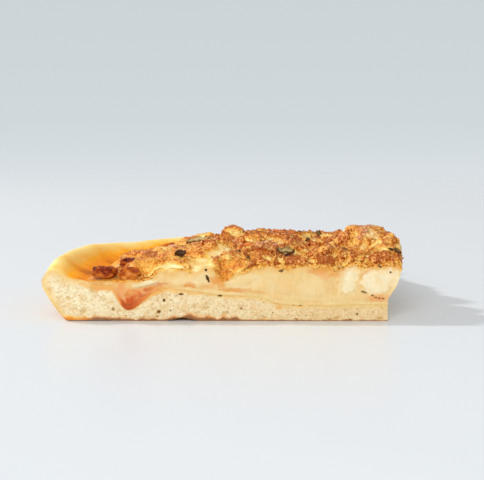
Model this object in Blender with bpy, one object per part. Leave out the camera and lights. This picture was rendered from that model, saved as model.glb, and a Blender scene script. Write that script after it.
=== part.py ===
"""A quarter of a deep pan pizza with a thick rim, cut square along two sides.

Units are metres and Z is up. The quarter stands on its flat underside. The pizza's middle, where both cuts
meet, is at the right front corner. The front cut looks along -Y, the side cut along +X, and the baked rim
runs round the back from the left end of the front cut to the far end of the side cut.
"""
import math

import bmesh
import bpy
from mathutils import Matrix, Vector, noise
from mathutils.bvhtree import BVHTree

# Plan of the quarter
REACH = 0.150                # from the pizza's middle to the rim's widest line, along either cut
SQUARENESS = 2.5             # 2 is a true quarter circle, more is squarer
MIDDLE = Vector((REACH / 2, -REACH / 2, 0.0))

# Dough, as (distance in from the widest line, height)
WIDEST_HEIGHT = 0.0183
DOUGH_PROFILE = ((0.0, WIDEST_HEIGHT), (0.0016, 0.0209), (0.0044, 0.0224), (0.0081, 0.0210),
                 (0.0118, 0.0193), (0.0153, 0.0186), (0.0210, 0.0172), (0.0300, 0.0160),
                 (0.0550, 0.0150), (0.0660, 0.0133), (0.0780, 0.0118), (0.0930, 0.0112),
                 (0.1050, 0.0076), (REACH, 0.0074))
FOOT_INSET = 0.0098          # the wall's foot stands this far inside its widest line
FOOT_ROUND_HEIGHT = 0.0131   # the foot's rounding ends this high
RIM_SWELL = 0.0034           # the rim is this much higher where it swelled, beside the front cut
SWELL_START, SWELL_FULL, SWELL_FALL, SWELL_END = (math.radians(a) for a in (0, 7, 22, 43))
BED_RIPPLE = 0.0005

# Dent that the toppings pressed into the dough at the front cut, as (distance from the middle, depth)
DENT_PROFILE = ((0.0965, 0.0), (0.1020, 0.0028), (0.1060, 0.0062), (0.1100, 0.0103), (0.1140, 0.0106),
                (0.1164, 0.0086), (0.1196, 0.0))
DENT_RUN = 0.020             # how far behind the cut it fades out
ARCH_AT, ARCH_HALF, ARCH_RISE, ARCH_RUN = 0.0890, 0.0080, 0.0020, 0.010
HEEL_LIFT, HEEL_START, HEEL_LENGTH, HEEL_RUN = 0.0010, 0.108, 0.026, 0.022

# Layers on the dough
GAP = 0.0003
SAUCE_THICKNESS = 0.0011
SAUCE_IN_DENT = 0.0016
TOPPING_EDGE_INSET = 0.0200  # the melted cheese ends this far inside the widest line
TOPPING_EDGE_WAVE = 0.0022
CHEESE_LEAST = 0.0011
# Thickness of the topping, as (distance in from its own edge, thickness)
TOPPING_PROFILE = ((0.0, 0.0014), (0.003, 0.0024), (0.010, 0.0036), (0.025, 0.0072), (0.045, 0.0104),
                   (0.070, 0.0134), (0.090, 0.0168), (0.150, 0.0180))
# Top edge of the front cut, as (distance from the middle, height)
FRONT_EDGE = ((0.0, 0.0215), (0.0022, 0.0226), (0.0070, 0.0241), (0.0118, 0.0228), (0.0160, 0.0255),
              (0.0225, 0.0228), (0.0283, 0.0246), (0.0467, 0.0243), (0.0536, 0.0248), (0.0628, 0.0217),
              (0.0718, 0.0190), (0.0755, 0.0228), (0.0794, 0.0241), (0.0855, 0.0221), (0.0903, 0.0230),
              (0.0977, 0.0230), (0.1050, 0.0186), (0.1180, 0.0188), (0.1286, 0.0182))
FRONT_EDGE_RUN = 0.009
# Mounds of browned topping, as (x, y), top and radius
MOUNDS = (
    ((0.0648, -0.037), 0.0374, 0.020), ((0.0735, -0.060), 0.0325, 0.014), ((0.0700, -0.012), 0.0330, 0.015),
    ((0.0590, -0.018), 0.0290, 0.015), ((0.0500, -0.060), 0.0284, 0.011), ((0.0440, -0.043), 0.0292, 0.013),
    ((0.0318, -0.050), 0.0315, 0.014), ((0.0405, -0.002), 0.0318, 0.016), ((0.0285, -0.014), 0.0316, 0.014),
    ((0.0210, -0.052), 0.0296, 0.011), ((0.0183, -0.015), 0.0312, 0.013), ((0.0120, -0.010), 0.0300, 0.014),
    ((0.0090, -0.066), 0.0262, 0.011), ((0.0068, 0.010), 0.0328, 0.012), ((-0.0010, -0.037), 0.0292, 0.015),
    ((-0.0130, -0.006), 0.0258, 0.015), ((-0.0200, -0.058), 0.0258, 0.012), ((-0.0240, -0.028), 0.0258, 0.014),
    ((-0.0300, -0.063), 0.0246, 0.011), ((-0.0380, -0.040), 0.0232, 0.011), ((-0.0080, 0.026), 0.0252, 0.013),
    ((0.0250, 0.030), 0.0272, 0.018), ((0.0480, 0.040), 0.0262, 0.015), ((0.0640, 0.018), 0.0290, 0.018),
)
CRAG_SIZE = 0.0075
CRAG_DEPTH = 0.0018

# Pieces set in the cheese, as (distance left of the middle, distance back, height), half sizes, and tilt in
# degrees
CHUNKS = {
    "pale_wedge": ((0.0636, 0.0020, 0.0176), (0.0088, 0.0080, 0.0025), 15.0),
    "pale_chunk_1": ((0.0384, 0.0040, 0.0160), (0.0148, 0.0110, 0.0055), -2.0),
    "pale_chunk_2": ((0.0172, 0.0020, 0.0162), (0.0036, 0.0090, 0.0055), 0.0),
    "pale_chunk_3": ((0.0046, 0.0035, 0.0154), (0.0064, 0.0090, 0.0046), 6.0),
    "pale_chunk_4": ((-0.0005, 0.0400, 0.0165), (0.0080, 0.0120, 0.0054), 0.0),
    "pale_chunk_5": ((0.0005, 0.0700, 0.0188), (0.0080, 0.0100, 0.0036), 0.0),
    "pale_sliver": ((0.1052, 0.0015, 0.0164), (0.0056, 0.0050, 0.0011), 13.0),
    "ham_slice": ((0.1118, 0.0012, 0.0122), (0.0033, 0.0034, 0.0012), 26.0),
}
CHUNK_UNEVEN = 0.16
SIDE_CUT_BULGE = 0.0062      # the chunks at the side cut end this far past the dough
CHUNK_SIDES, CHUNK_RINGS = 12, 8

# Baked ham pieces on top, as (x, y), half sizes, heading in degrees, and the share of the half height that
# the middle stands above the cheese
HAM_PIECES = (
    ((-0.0484, -0.0722), (0.0054, 0.0048, 0.0026), 8.0, 0.85),
    ((-0.0370, -0.0722), (0.0043, 0.0046, 0.0029), -10.0, 0.6),
    ((-0.0380, -0.0520), (0.0048, 0.0040, 0.0020), 20.0, 0.35),
    ((-0.0125, -0.0020), (0.0056, 0.0042, 0.0024), 25.0, 0.1),
    ((0.0140, -0.0420), (0.0046, 0.0040, 0.0030), 0.0, 0.35),
    ((0.0330, 0.0200), (0.0060, 0.0046, 0.0028), -35.0, 0.35),
    ((0.0610, 0.0380), (0.0054, 0.0046, 0.0026), 60.0, 0.4),
    ((-0.0240, 0.0000), (0.0050, 0.0040, 0.0020), 40.0, 0.6),
)
HAM_UNEVEN = 0.4
HAM_SIDES, HAM_RINGS = 10, 6

# Herb leaves on top, as (x, y), length, width and heading in degrees
LEAVES = (
    ((-0.0142, -0.0560), 0.0042, 0.0026, 10.0), ((-0.0080, -0.0330), 0.0110, 0.0034, 28.0),
    ((0.0100, -0.0580), 0.0030, 0.0024, 60.0), ((0.0310, -0.0640), 0.0078, 0.0038, -8.0),
    ((0.0205, -0.0330), 0.0034, 0.0020, -15.0), ((0.0430, -0.0330), 0.0030, 0.0022, 20.0),
    ((0.0575, -0.0560), 0.0046, 0.0024, 12.0), ((0.0745, -0.0360), 0.0036, 0.0024, -30.0),
    ((0.0785, -0.0580), 0.0064, 0.0024, 15.0), ((0.0500, 0.0120), 0.0070, 0.0030, 80.0),
    ((0.0150, 0.0260), 0.0076, 0.0032, -50.0), ((0.0420, 0.0400), 0.0060, 0.0028, 5.0),
    ((-0.0060, 0.0120), 0.0058, 0.0026, 110.0),
)
LEAF_THICKNESS = 0.0009
LEAF_SUNK = 0.0004
LEAF_CELLS = 3

# The topping leans out past the side cut, as (height above the dough, how far)
OVERHANG = ((0.0016, 0.0), (0.0046, 0.0017), (0.0086, 0.0040), (0.0146, 0.0058), (0.0206, 0.0076),
            (0.0330, 0.0078))
OVERHANG_RUN = 0.012

# Grid that all layers share, so that they follow each other with an even gap, as distances in from the
# widest line: closer at the rim and at the dent
GRID_INSETS = (0.0, 0.0022, 0.0052, 0.0090, 0.0135, 0.0185, 0.0245, 0.0303, 0.0340, 0.0380, 0.0420, 0.0465,
               0.0515, 0.0580, 0.0655, 0.0730, 0.0805, 0.0880, 0.0960, 0.1045, 0.1130, 0.1220, 0.1310,
               0.1405, REACH)
GRID_LINES = len(GRID_INSETS) - 1
TOPPING_LINES = 19           # the topping ends between the lines at 0.0185 and 0.0245
DOUGH_STEPS = 5
CHEESE_STEPS = 3
CHEESE_STEP_EASE = 1.5       # above 1 the rows of the cut are closer at its foot


def smooth(share):
    """0 below 0, 1 above 1, and an even slope in and out between them."""
    share = min(max(share, 0.0), 1.0)
    return share * share * (3.0 - 2.0 * share)


def along(points, at):
    """Height at one place of a smooth line through (place, height) points."""
    if at <= points[0][0]:
        return points[0][1]
    if at >= points[-1][0]:
        return points[-1][1]
    index = next(i for i in range(len(points) - 1) if at <= points[i + 1][0])
    slopes = [(b[1] - a[1]) / (b[0] - a[0]) for a, b in zip(points, points[1:])]

    def tangent(i):
        if i == 0 or i == len(points) - 1 or slopes[i - 1] * slopes[i] <= 0.0:
            return 0.0
        return 2.0 * slopes[i - 1] * slopes[i] / (slopes[i - 1] + slopes[i])

    run = points[index + 1][0] - points[index][0]
    rise = points[index + 1][1] - points[index][1]
    share = (at - points[index][0]) / run
    out, into = run * tangent(index), run * tangent(index + 1)
    curve = share * (3.0 * rise - 2.0 * out - into + share * (out + into - 2.0 * rise))
    return points[index][1] + share * (out + curve)


def reach(angle):
    """Distance from the middle to the widest line, at an angle from the front cut."""
    c, s = abs(math.cos(angle)), abs(math.sin(angle))
    return REACH / (c ** SQUARENESS + s ** SQUARENESS) ** (1.0 / SQUARENESS)


def polar(left, back):
    """Angle from the front cut and distance from the middle."""
    return math.atan2(back, left), math.hypot(left, back)


def topping_edge(angle):
    """Distance from the middle to the uneven edge of the topping."""
    wave = math.sin(5.3 * angle - 2.6) + 0.6 * math.sin(12.0 * angle + 2.1)
    return reach(angle) - TOPPING_EDGE_INSET + TOPPING_EDGE_WAVE * wave * smooth(angle / 0.12)


def dent(left, back):
    return along(DENT_PROFILE, left) * (1.0 - smooth(back / DENT_RUN))


def flat_dough_top(left, back):
    """Top of the dough before the toppings dented it."""
    angle, distance = polar(left, back)
    inset = reach(angle) - distance
    swell = smooth((angle - SWELL_START) / (SWELL_FULL - SWELL_START))
    swell *= 1.0 - smooth((angle - SWELL_FALL) / (SWELL_END - SWELL_FALL))
    crest = math.exp(-((inset - 0.006) / 0.007) ** 2)
    ripple = noise.noise(Vector((left, back, 0.0)) / 0.022) * BED_RIPPLE * smooth(inset / 0.03)
    return along(DOUGH_PROFILE, inset) + RIM_SWELL * swell * crest + ripple


def dough_top(left, back):
    return flat_dough_top(left, back) - dent(left, back)


def dough_foot(left, back):
    """Underside of the dough: flat, with a small arch and a lifted heel at the front cut."""
    arch = ARCH_RISE * (1.0 - smooth(abs(left - ARCH_AT) / ARCH_HALF)) * (1.0 - smooth(back / ARCH_RUN))
    heel = HEEL_LIFT * smooth((left - HEEL_START) / HEEL_LENGTH) * (1.0 - smooth(back / HEEL_RUN))
    return arch + heel


def sauce_thickness(left, back):
    deepest = max(depth for _, depth in DENT_PROFILE)
    return SAUCE_THICKNESS + SAUCE_IN_DENT * dent(left, back) / deepest


def cheese_foot(left, back):
    return dough_top(left, back) + GAP + sauce_thickness(left, back) + GAP


def crags(left, back):
    """Cauliflower-like lumps of the browned surface, between -1 and 1."""
    place = Vector((left, back, 0.0)) / CRAG_SIZE
    lumps = 1.0 - 1.6 * noise.voronoi(place)[0][0]
    return 0.7 * lumps + 0.5 * noise.noise(place * 0.7)


def cheese_top(left, back):
    """Top of the topping: a falling apron at the rim, mounds in the field and the cut's own top edge."""
    angle, distance = polar(left, back)
    inward = max(topping_edge(angle) - distance, 0.0)
    field = flat_dough_top(left, back) + along(TOPPING_PROFILE, inward)
    here = Vector((MIDDLE.x - left, MIDDLE.y + back))
    lift = 0.0
    for centre, top, radius in MOUNDS:
        share = (here - Vector(centre)).length / radius
        if share < 1.0:
            lift = max(lift, (top - field) * (1.0 - share * share) ** 1.5)
    height = field + lift + CRAG_DEPTH * crags(left, back) * smooth(inward / 0.010)
    front = 1.0 - smooth(back / FRONT_EDGE_RUN)
    height += front * (along(FRONT_EDGE, left) - height) * smooth(inward / 0.004)
    return max(height, cheese_foot(left, back) + CHEESE_LEAST)


def overhang(left, back, height):
    """How far the topping leans past the side cut, least where it is thin."""
    above = height - flat_dough_top(left, back)
    return along(OVERHANG, above) * math.exp(-left / OVERHANG_RUN)


def world(left, back, height):
    return Vector((MIDDLE.x - left, MIDDLE.y + back, height))


def grid_distance(share, angle):
    """Distance from the middle of a grid line, share 1 being the widest line."""
    line = (1.0 - share) * GRID_LINES
    before = min(int(line + 0.0001), GRID_LINES - 1)
    inset = GRID_INSETS[before] + (line - before) * (GRID_INSETS[before + 1] - GRID_INSETS[before])
    return (1.0 - inset / REACH) * reach(angle)


def dough_place(a, b, level):
    """Where a point of the unit block lies in the dough."""
    angle = math.atan2(b, a)
    rounding = 1.0 - level * WIDEST_HEIGHT / FOOT_ROUND_HEIGHT
    wall = FOOT_INSET * max(rounding, 0.0) ** 1.1
    distance = grid_distance(max(a, b), angle) * (1.0 - wall / reach(angle))
    left, back = distance * math.cos(angle), distance * math.sin(angle)
    foot = dough_foot(left, back)
    return world(left, back, foot + level * (dough_top(left, back) - foot))


def topping_plan(a, b):
    """Distances left and back of a point of the unit block, for the layers on the dough."""
    angle = math.atan2(b, a)
    share = max(a, b) * TOPPING_LINES / GRID_LINES
    last_line = (TOPPING_LINES - 1) / GRID_LINES
    distance = grid_distance(min(share, last_line), angle)
    past = max(share - last_line, 0.0) * GRID_LINES
    distance += past * (topping_edge(angle) - distance)
    return distance * math.cos(angle), distance * math.sin(angle)


def sauce_place(a, b, level):
    left, back = topping_plan(a, b)
    return world(left, back, dough_top(left, back) + GAP + level * sauce_thickness(left, back))


def cheese_place(a, b, level):
    left, back = topping_plan(a, b)
    foot = cheese_foot(left, back)
    share = level ** CHEESE_STEP_EASE
    place = world(left, back, foot + share * (cheese_top(left, back) - foot))
    if level > 0.0:
        place.x += overhang(left, back, place.z)
    return place


def collection(name):
    made = bpy.data.collections.new(name)
    bpy.context.scene.collection.children.link(made)
    return made


def material(name, colour, roughness):
    made = bpy.data.materials.new(name)
    made.use_nodes = True
    shader = made.node_tree.nodes["Principled BSDF"]
    shader.inputs["Base Color"].default_value = (*colour, 1.0)
    shader.inputs["Roughness"].default_value = roughness
    shader.inputs["Metallic"].default_value = 0.0
    return made


def add_object(name, bm, finish, where):
    """Turn a bmesh into a named object with its material."""
    bmesh.ops.recalc_face_normals(bm, faces=bm.faces)
    mesh = bpy.data.meshes.new(name)
    bm.to_mesh(mesh)
    bm.free()
    mesh.materials.append(finish)
    made = bpy.data.objects.new(name, mesh)
    where.objects.link(made)
    return made


def halves_on_rim(bm, lines):
    """Points halfway along the cells of the block's upper outer border, each with its two neighbours."""
    border = {point for point in bm.verts if point.co.z > 0.999 and max(point.co.x, point.co.y) > 0.999}
    found = []
    for point in border:
        cells = (point.co.x + point.co.y) * lines
        if abs(cells - round(cells)) > 0.25:
            beside = [edge.other_vert(point) for edge in point.link_edges]
            found.append((point, [other for other in beside if other in border]))
    return found


def layer(lines, steps, place, finer_top=False):
    """A closed block of grid cells, each point moved to its place in the layer."""
    bm = bmesh.new()
    bmesh.ops.create_grid(bm, x_segments=lines, y_segments=lines, size=0.5,
                          matrix=Matrix.Translation((0.5, 0.5, 0.0)))
    raised = bmesh.ops.extrude_face_region(bm, geom=bm.faces[:], use_keep_orig=True)["geom"]
    top = [part for part in raised if isinstance(part, bmesh.types.BMFace)]
    points = {point for face in top for point in face.verts}
    bmesh.ops.translate(bm, verts=list(points), vec=(0.0, 0.0, 1.0))
    if finer_top:
        edges = {edge for face in top for edge in face.edges}
        bmesh.ops.subdivide_edges(bm, edges=list(edges), cuts=1, use_grid_fill=True)
    if steps > 1:
        uprights = [edge for edge in bm.edges if edge.verts[0].co.z != edge.verts[1].co.z]
        bmesh.ops.subdivide_edges(bm, edges=uprights, cuts=steps - 1)
    halves = halves_on_rim(bm, lines)
    for point in bm.verts:
        point.co = place(*(min(max(value, 0.0), 1.0) for value in point.co))
    for point, beside in halves:
        point.co = (beside[0].co + beside[1].co) / 2.0
    bmesh.ops.triangulate(bm, faces=bm.faces, quad_method="BEAUTY")
    return bm


def shape_lump(bm, half, seed, unevenness):
    """Squeeze a unit sphere to its half sizes and make it uneven."""
    drift = Vector((seed * 3.7, seed * 1.9, seed * 5.3))
    for point in bm.verts:
        swell = 1.0 + unevenness * noise.noise(point.co * 1.7 + drift)
        point.co = Vector(value * size * swell for value, size in zip(point.co, half))


def lump(half, matrix, seed, sides, rings, unevenness, grown=0.0):
    """An uneven rounded piece, grown by a clearance where it serves as a cutter."""
    bm = bmesh.new()
    bmesh.ops.create_uvsphere(bm, u_segments=sides, v_segments=rings, radius=1.0)
    shape_lump(bm, half, seed, unevenness)
    bmesh.ops.triangulate(bm, faces=bm.faces, quad_method="BEAUTY")
    bm.normal_update()
    if grown:
        moves = [point.normal * grown for point in bm.verts]
        for point, move in zip(bm.verts, moves):
            point.co += move
    bmesh.ops.transform(bm, matrix=matrix, verts=bm.verts)
    return bm


def cut_flat(bm, place, normal):
    """Slice off what lies beyond a plane and close the cut."""
    parts = bm.verts[:] + bm.edges[:] + bm.faces[:]
    cut = bmesh.ops.bisect_plane(bm, geom=parts, plane_co=place, plane_no=normal, clear_outer=True)
    edges = [part for part in cut["geom_cut"] if isinstance(part, bmesh.types.BMEdge)]
    if edges:
        bmesh.ops.contextual_create(bm, geom=edges)


def cutter(name, bm, where):
    made = add_object(name, bm, bpy.data.materials["cutter"], where)
    made.hide_render = True
    made.display_type = "WIRE"


def add_chunk(number, name, finish, pieces, cutters):
    """A chunk cut flush with the quarter's own cuts, and the cutter of its pocket."""
    (left, back, height), half, tilt = CHUNKS[name]
    matrix = Matrix.Translation(world(left, back, height)) @ Matrix.Rotation(math.radians(-tilt), 4, "Y")
    bm = lump(half, matrix, number, CHUNK_SIDES, CHUNK_RINGS, CHUNK_UNEVEN)
    cut_flat(bm, MIDDLE, Vector((0.0, -1.0, 0.0)))
    cut_flat(bm, MIDDLE + Vector((SIDE_CUT_BULGE, 0.0, 0.0)), Vector((1.0, 0.0, 0.0)))
    add_object(name, bm, finish, pieces)
    cutter(name + "_pocket", lump(half, matrix, number, CHUNK_SIDES, CHUNK_RINGS, CHUNK_UNEVEN, GAP), cutters)


def add_ham(number, surface, finish, pieces, cutters):
    """A baked piece half sunk in the cheese, and the cutter of its pocket."""
    (x, y), half, heading, proud = HAM_PIECES[number]
    height = surface(x, y).z + half[2] * proud
    matrix = Matrix.Translation((x, y, height)) @ Matrix.Rotation(math.radians(heading), 4, "Z")
    bm = lump(half, matrix, number + 20, HAM_SIDES, HAM_RINGS, HAM_UNEVEN)
    cut_flat(bm, MIDDLE, Vector((0.0, -1.0, 0.0)))
    name = f"ham_piece_{number + 1}"
    add_object(name, bm, finish, pieces)
    cutter(name + "_pocket", lump(half, matrix, number + 20, HAM_SIDES, HAM_RINGS, HAM_UNEVEN, GAP), cutters)


def add_leaf(number, surface, finish, where):
    """A thin wavy leaf lying on the cheese."""
    (x, y), length, width, heading = LEAVES[number]
    turn = Matrix.Rotation(math.radians(heading), 2)

    def place(a, b, level):
        reach_along = a - 0.5
        half_width = width * math.sqrt(max(1.0 - (1.8 * reach_along) ** 2, 0.03))
        spot = turn @ Vector((length * reach_along, half_width * (b - 0.5)))
        wave = 0.0002 * math.sin(9.0 * a + number)
        height = surface(x + spot.x, y + spot.y).z - LEAF_SUNK + wave + level * LEAF_THICKNESS
        return Vector((x + spot.x, y + spot.y, height))

    add_object(f"leaf_{number + 1}", layer(LEAF_CELLS, 1, place), finish, where)


def surface_of(target):
    """A function that drops a point on to an object from above."""
    bm = bmesh.new()
    bm.from_mesh(target.data)
    tree = BVHTree.FromBMesh(bm)
    bm.free()
    return lambda x, y: tree.ray_cast(Vector((x, y, 0.1)), Vector((0.0, 0.0, -1.0)))[0]


def join_leaves(cheese, leaves):
    """Fuse the leaves to the cheese and remove their own objects."""
    union = cheese.modifiers.new("leaves", "BOOLEAN")
    union.operation = "UNION"
    union.operand_type = "COLLECTION"
    union.collection = leaves
    union.solver = "MANIFOLD"
    evaluated = cheese.evaluated_get(bpy.context.evaluated_depsgraph_get())
    joined = bpy.data.meshes.new_from_object(evaluated)
    cheese.modifiers.clear()
    cheese.data = joined
    for leaf in leaves.objects[:]:
        bpy.data.objects.remove(leaf)
    bpy.data.collections.remove(leaves)


def carve_pockets(target, cutters):
    pockets = target.modifiers.new("pockets", "BOOLEAN")
    pockets.operation = "DIFFERENCE"
    pockets.operand_type = "COLLECTION"
    pockets.collection = cutters
    pockets.solver = "EXACT"


def merge_flat_faces(target):
    flat = target.modifiers.new("flat faces", "DECIMATE")
    flat.decimate_type = "DISSOLVE"
    flat.angle_limit = math.radians(0.3)


for leftover in bpy.data.objects[:]:
    bpy.data.objects.remove(leftover)

pizza = collection("pizza_quarter")
pocket_cutters = collection("cutters")
leaf_pieces = collection("leaves")
material("cutter", (0.5, 0.5, 0.5), 0.5)
dough_finish = material("baked dough", (0.86, 0.66, 0.36), 0.6)
sauce_finish = material("tomato sauce", (0.62, 0.16, 0.05), 0.4)
cheese_finish = material("browned cheese", (0.80, 0.45, 0.15), 0.45)
pale_finish = material("pale cheese chunk", (0.92, 0.82, 0.55), 0.4)
ham_finish = material("baked ham", (0.55, 0.20, 0.12), 0.45)

crust = add_object("crust", layer(GRID_LINES, DOUGH_STEPS, dough_place), dough_finish, pizza)
merge_flat_faces(crust)
add_object("sauce", layer(TOPPING_LINES, 1, sauce_place), sauce_finish, pizza)
cheese = add_object("cheese", layer(TOPPING_LINES, CHEESE_STEPS, cheese_place, True), cheese_finish, pizza)
cheese_surface = surface_of(cheese)

for number in range(len(LEAVES)):
    add_leaf(number, cheese_surface, cheese_finish, leaf_pieces)
join_leaves(cheese, leaf_pieces)
for number, name in enumerate(CHUNKS):
    add_chunk(number, name, ham_finish if name == "ham_slice" else pale_finish, pizza, pocket_cutters)
for number in range(len(HAM_PIECES)):
    add_ham(number, cheese_surface, ham_finish, pizza, pocket_cutters)
carve_pockets(cheese, pocket_cutters)
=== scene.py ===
"""Looks of a quarter of a deep pan pizza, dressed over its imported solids.

Metres, Z up, the quarter on the floor at Z 0. "Left" is the distance left of the pizza's middle, where both
cuts meet, and "back" is the distance behind the front cut.
"""
import functools
import itertools
import math

import bmesh
import bpy
from mathutils import Matrix, Vector, noise
from mathutils.bvhtree import BVHTree

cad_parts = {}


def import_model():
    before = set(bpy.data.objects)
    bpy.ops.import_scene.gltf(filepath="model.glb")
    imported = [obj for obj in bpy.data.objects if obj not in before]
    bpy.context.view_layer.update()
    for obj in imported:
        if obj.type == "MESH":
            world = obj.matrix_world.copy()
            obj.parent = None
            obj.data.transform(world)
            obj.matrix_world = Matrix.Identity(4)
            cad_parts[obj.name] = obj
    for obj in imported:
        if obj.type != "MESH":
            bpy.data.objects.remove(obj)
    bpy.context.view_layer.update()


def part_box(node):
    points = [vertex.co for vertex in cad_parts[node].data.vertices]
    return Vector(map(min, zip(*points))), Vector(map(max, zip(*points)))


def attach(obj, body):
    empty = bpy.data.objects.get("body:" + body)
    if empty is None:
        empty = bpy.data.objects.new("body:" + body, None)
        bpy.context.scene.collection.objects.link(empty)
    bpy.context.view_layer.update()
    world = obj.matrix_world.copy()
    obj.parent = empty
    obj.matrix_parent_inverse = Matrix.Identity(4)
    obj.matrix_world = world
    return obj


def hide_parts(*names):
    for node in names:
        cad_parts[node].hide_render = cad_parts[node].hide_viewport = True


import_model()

# Crust
# Bread dough pressed into a deep oiled pan, proved and baked with its toppings on. The rim and the side
# that touched the pan have a golden skin, and the two cuts show the open crumb, soaked under the toppings.
crust_low, crust_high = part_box("crust")
REACH = crust_high[0] - crust_low[0]
MIDDLE = Vector((crust_high[0], crust_low[1], 0.0))
SQUARENESS = 2.5
WIDEST_HEIGHT = 0.0183
# As (distance in from the widest line, height)
DOUGH_PROFILE = ((0.0, WIDEST_HEIGHT), (0.0016, 0.0209), (0.0044, 0.0224), (0.0081, 0.0210),
                 (0.0118, 0.0193), (0.0153, 0.0186), (0.0210, 0.0172), (0.0300, 0.0160),
                 (0.0550, 0.0150), (0.0660, 0.0133), (0.0780, 0.0118), (0.0930, 0.0112),
                 (0.1050, 0.0076), (0.1500, 0.0074))
FOOT_INSET = 0.0104
RIM_SWELL = 0.0034
SWELL_START, SWELL_FULL, SWELL_FALL, SWELL_END = (math.radians(a) for a in (0, 7, 22, 43))
BED_RIPPLE = 0.0005
# Dent at the front cut, as (left, depth)
DENT_PROFILE = ((0.0965, 0.0), (0.1005, 0.0017), (0.1045, 0.0048), (0.1085, 0.0084), (0.1110, 0.0102),
                (0.1130, 0.0106), (0.1150, 0.0092), (0.1172, 0.0054), (0.1198, 0.0))
DENT_DEEPEST = 0.0106
DENT_RUN = 0.020
ARCH_AT, ARCH_HALF, ARCH_RISE, ARCH_RUN = 0.0890, 0.0080, 0.0014, 0.010
HEEL_LIFT, HEEL_START, HEEL_LENGTH, HEEL_RUN = 0.0003, 0.108, 0.026, 0.012
# Bubbles of the crumb, as (spacing, bubble radius)
CRUMB_BUBBLES = ((0.0064, 0.0012), (0.0030, 0.00065), (0.0016, 0.00042))
PORE_DEEP, HOLE_DEEP = 0.0008, 0.0009
# How the crumb tore at the cuts, as (size, depth, seed)
TORN = ((0.0045, 0.00018, 5.0), (0.0012, 0.00010, 9.0))
# Single holes of the front cut, as (left, height, half width, half height, depth)
FRONT_HOLES = (
    (0.1192, 0.0050, 0.0009, 0.0009, 0.0007), (0.1230, 0.0081, 0.0010, 0.0009, 0.0003),
    (0.0970, 0.0090, 0.0008, 0.0009, 0.0012), (0.0993, 0.0039, 0.0011, 0.0010, 0.0010),
    (0.0943, 0.0044, 0.0006, 0.0004, 0.0011), (0.0918, 0.0109, 0.0006, 0.0003, 0.0010),
    (0.0896, 0.0117, 0.0013, 0.0006, 0.0011), (0.0837, 0.0064, 0.0013, 0.0012, 0.0003),
    (0.0727, 0.0110, 0.0015, 0.0005, 0.0010), (0.0635, 0.0053, 0.0009, 0.0007, 0.0007),
    (0.0694, 0.0038, 0.0005, 0.0004, 0.0009), (0.0408, 0.0070, 0.0006, 0.0004, 0.0008),
    (0.0378, 0.0068, 0.0006, 0.0004, 0.0008), (0.0353, 0.0022, 0.0008, 0.0005, 0.0005),
    (0.0231, 0.0031, 0.0013, 0.0010, 0.0003), (0.0131, 0.0028, 0.0009, 0.0007, 0.0008),
    (0.0498, 0.0036, 0.0006, 0.0004, 0.0007), (0.1135, 0.0021, 0.0007, 0.0003, 0.0006),
    (0.0160, 0.0006, 0.0010, 0.0004, 0.0007), (0.0250, 0.0006, 0.0012, 0.0004, 0.0006),
    (0.0395, 0.0008, 0.0012, 0.0004, 0.0007), (0.1000, 0.0018, 0.0009, 0.0004, 0.0007),
)
# A drop of oil in the crumb of the front cut, as (left, height, half width, half height)
OIL_SPOT = (0.0470, 0.0060, 0.0020, 0.0011)
# How deep the toppings soaked into the cut, as (left, depth)
SOAKED = ((0.0, 0.0010), (0.060, 0.0008), (0.098, 0.0014), (0.119, 0.0026), (0.133, 0.0022), (0.139, 0.0))
# How orange the soaked dough is, as (left, share)
SOAKED_ORANGE = ((0.0, 0.05), (0.050, 0.10), (0.066, 0.12), (0.090, 0.40), (0.100, 0.85), (0.122, 0.70),
                 (0.135, 0.45))
SKIN = 0.0009
RIM_BROWNED = 0.0048         # at the rim the crumb under the skin is tanned this deep
RIM_FADES = (0.126, 0.138)   # distances from the corner between which that begins
CUT_ROUNDED = 0.0006         # the knife's pull rounded the edges of the cuts by this much
COVERED_INSET = 0.0200       # nearer the middle than this, the toppings kept the dough from browning
# How high the browned line along the foot of the cuts reaches, as (distance from the corner, height)
UNDERSIDE_TOASTED = ((0.0, 0.0006), (0.030, 0.0008), (0.060, 0.0011), (0.070, 0.0028), (0.082, 0.0032),
                     (0.092, 0.0016), (0.112, 0.0018), (0.122, 0.0028), (0.138, 0.0030), (0.150, 0.0010))
SKIN_WRINKLES = ((0.0110, 0.00030), (0.0034, 0.00010), (0.0012, 0.00004))
# Where the crumb shows, has pores and holes (both painted darker, as shade), is soaked and how orange,
# and how far the skin is baked
CRUST_MASKS = ("crumb", "pore", "hole", "soak", "orange", "bake")
CRUST_LINES, CRUST_STEPS = 52, 6
AT_END = 1e-6                # a point of the unit block nearer an end than this lies on that end
CUT_STRIP = 0.06             # how far in from a cut the cells are halved once more, as a share of the block


def smooth(share):
    """0 below 0, 1 above 1, and an even slope in and out between them."""
    share = min(max(share, 0.0), 1.0)
    return share * share * (3.0 - 2.0 * share)


def wavy(size, *place):
    """Smooth noise from -1 to 1 at a place, with waves of a size in metres."""
    return noise.noise(Vector(place) / size)


def along(points, at):
    """Height at one place of a smooth line through (place, height) points."""
    if at <= points[0][0]:
        return points[0][1]
    if at >= points[-1][0]:
        return points[-1][1]
    index = next(i for i in range(len(points) - 1) if at <= points[i + 1][0])

    def slope(i):
        return (points[i + 1][1] - points[i][1]) / (points[i + 1][0] - points[i][0])

    def tangent(i):
        if i == 0 or i == len(points) - 1 or slope(i - 1) * slope(i) <= 0.0:
            return 0.0
        return 2.0 * slope(i - 1) * slope(i) / (slope(i - 1) + slope(i))

    run = points[index + 1][0] - points[index][0]
    rise = points[index + 1][1] - points[index][1]
    share = (at - points[index][0]) / run
    out, into = run * tangent(index), run * tangent(index + 1)
    curve = share * (3.0 * rise - 2.0 * out - into + share * (out + into - 2.0 * rise))
    return points[index][1] + share * (out + curve)


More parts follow.
